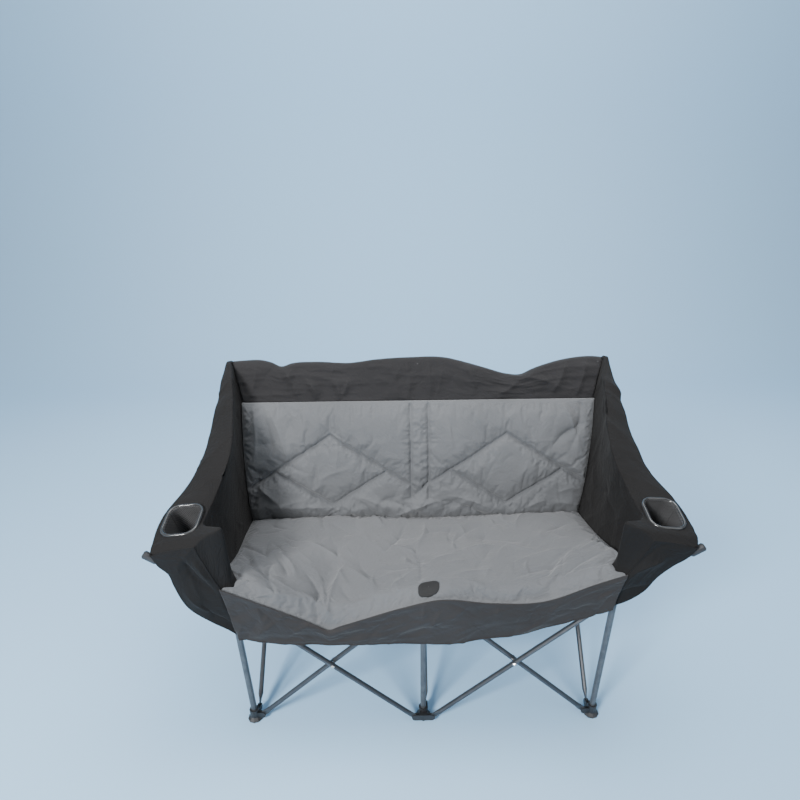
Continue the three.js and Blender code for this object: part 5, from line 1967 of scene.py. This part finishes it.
@dataclass
class TubeFrame:
    """Painted tubes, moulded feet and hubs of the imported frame."""

    finishes: Finishes

    def dress(self) -> None:
        """Gives each node its finish by the start of its name, and paint to the rest."""
        kinds = {"foot": Finish.PLASTIC, "hub": Finish.PLASTIC, "post_cap": Finish.PLASTIC,
                 "arm_cap": Finish.PLASTIC, "crossing_rivet": Finish.ZINC, "cup_ring": Finish.RING,
                 "cup_pocket": Finish.NET, "seat_patch": Finish.RUBBER}
        for name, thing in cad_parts.items():
            finish = next((kinds[key] for key in kinds if name.startswith(key)), Finish.PAINT)
            self.finishes.put_on(thing, finish)


# Studio

@dataclass(frozen=True)
class Lamp:
    """Round soft light."""

    name: str
    place: Triple
    aim: Triple
    size: float
    power: float

    def hang(self) -> None:
        """Hangs the light, turned to its aim."""
        light = bpy.data.lights.new(self.name, "AREA")
        light.shape, light.size, light.energy = "DISK", self.size, self.power
        thing = bpy.data.objects.new(self.name, light)
        thing.location = self.place
        thing.rotation_euler = (Vector(self.aim) - Vector(self.place)).to_track_quat("-Z", "Y").to_euler()
        bpy.context.collection.objects.link(thing)


@dataclass
class Studio:
    """Pale floor, soft light and the photograph's viewpoint.

    The eye is measured from the front posts, and the photograph's sizes are in its pixels.
    """

    eye: Triple = (-0.0348, -1.0265, 1.2764)
    pitch: float = 27.7
    roll: float = -0.8
    photo: float = 800.0
    focal: float = 538.9
    centre: Span = (407.5, 481.0)
    sensor: float = 36.0
    sight: float = 50.0
    floor_colour: Triple = (0.39, 0.615, 0.83)
    floor_roughness: float = 0.9
    floor_gloss: float = 0.1
    floor_front: float = -6.0
    floor_bend: float = 2.6
    floor_radius: float = 2.2
    wall_top: float = 7.0
    half_floor: float = 9.0
    sky_colour: Triple = (0.86, 0.93, 1.0)
    sky_strength: float = 0.42
    lamps: tuple[Lamp, ...] = (
        Lamp("key light", (-1.5, -2.5, 2.1), (0, 0, 0.45), 0.9, 165.0),
        Lamp("fill light", (2.4, -2.0, 2.2), (0, 0, 0.5), 2.4, 28.0),
        Lamp("top light", (0.6, 0.9, 3.4), (0, 0, 0.5), 2.0, 30.0),
        Lamp("backdrop light", (0.0, 0.8, 4.4), (0, 5.4, 1.6), 5.0, 260.0))

    def build(self) -> None:
        """Sets the floor, the lights and the camera."""
        self.lay_floor()
        self.light_up()
        self.place_camera()

    def lay_floor(self) -> None:
        """Lays a plain pale floor that curves up into a wall behind the chair."""
        bend, radius = self.floor_bend, self.floor_radius
        turn = np.linspace(0, math.pi / 2, 16)
        curve = [(bend + radius * math.sin(a), radius - radius * math.cos(a)) for a in turn]
        line = [(self.floor_front, 0.0), *curve, (bend + radius, self.wall_top)]
        across = np.linspace(-self.half_floor, self.half_floor, 3)
        floor = cloth_mesh("studio_floor", np.array([[(x, y, z) for x in across] for y, z in line]))
        material = bpy.data.materials.new("pale studio floor")
        material.use_nodes = True
        shader = material.node_tree.nodes["Principled BSDF"]
        shader.inputs["Base Color"].default_value = (*self.floor_colour, 1)
        shader.inputs["Roughness"].default_value = self.floor_roughness
        shader.inputs["Specular IOR Level"].default_value = self.floor_gloss
        wear_on(floor, material)

    def light_up(self) -> None:
        """Sets an even sky and hangs the lights."""
        world = bpy.data.worlds.new("studio sky")
        world.use_nodes = True
        sky = world.node_tree.nodes["Background"]
        sky.inputs["Color"].default_value = (*self.sky_colour, 1)
        sky.inputs["Strength"].default_value = self.sky_strength
        bpy.context.scene.world = world
        for lamp in self.lamps:
            lamp.hang()

    def place_camera(self) -> None:
        """Places the camera where the photograph was taken from."""
        lens = bpy.data.cameras.new("photograph viewpoint")
        lens.sensor_width = self.sensor
        lens.lens = self.sensor * self.focal / self.photo
        lens.shift_x = (self.photo / 2 - self.centre[0]) / self.photo
        lens.shift_y = (self.centre[1] - self.photo / 2) / self.photo
        lens.clip_end = self.sight
        camera = bpy.data.objects.new("photograph viewpoint", lens)
        tilt = Matrix.Rotation(math.radians(90 - self.pitch), 4, "X")
        turn = tilt @ Matrix.Rotation(math.radians(self.roll), 4, "Z")
        x, y, z = self.eye
        camera.matrix_world = Matrix.Translation((x, y + FRONT_ROW, z)) @ turn
        bpy.context.collection.objects.link(camera)
        bpy.context.scene.camera = camera


def main() -> None:
    """Builds the chair and its studio."""
    logging.basicConfig(level=logging.INFO, format="%(name)s: %(message)s")
    finishes = Finishes()
    TubeFrame(finishes).dress()
    seat = SeatPad(finishes)
    back = BackPad(finishes, seat)
    border = TopBorder(finishes, back)
    valance = FrontValance(finishes, seat)
    made = seat.build() + [SeatPatch(finishes, seat).build(), back.build(), border.build(), valance.build()]
    for side in Side:
        made += Wing(finishes, seat, back, border, valance, side).build()
    for piece in made:
        LOG.info("made %s", piece.name)
    Studio().build()


if __name__ == "__main__":
    main()
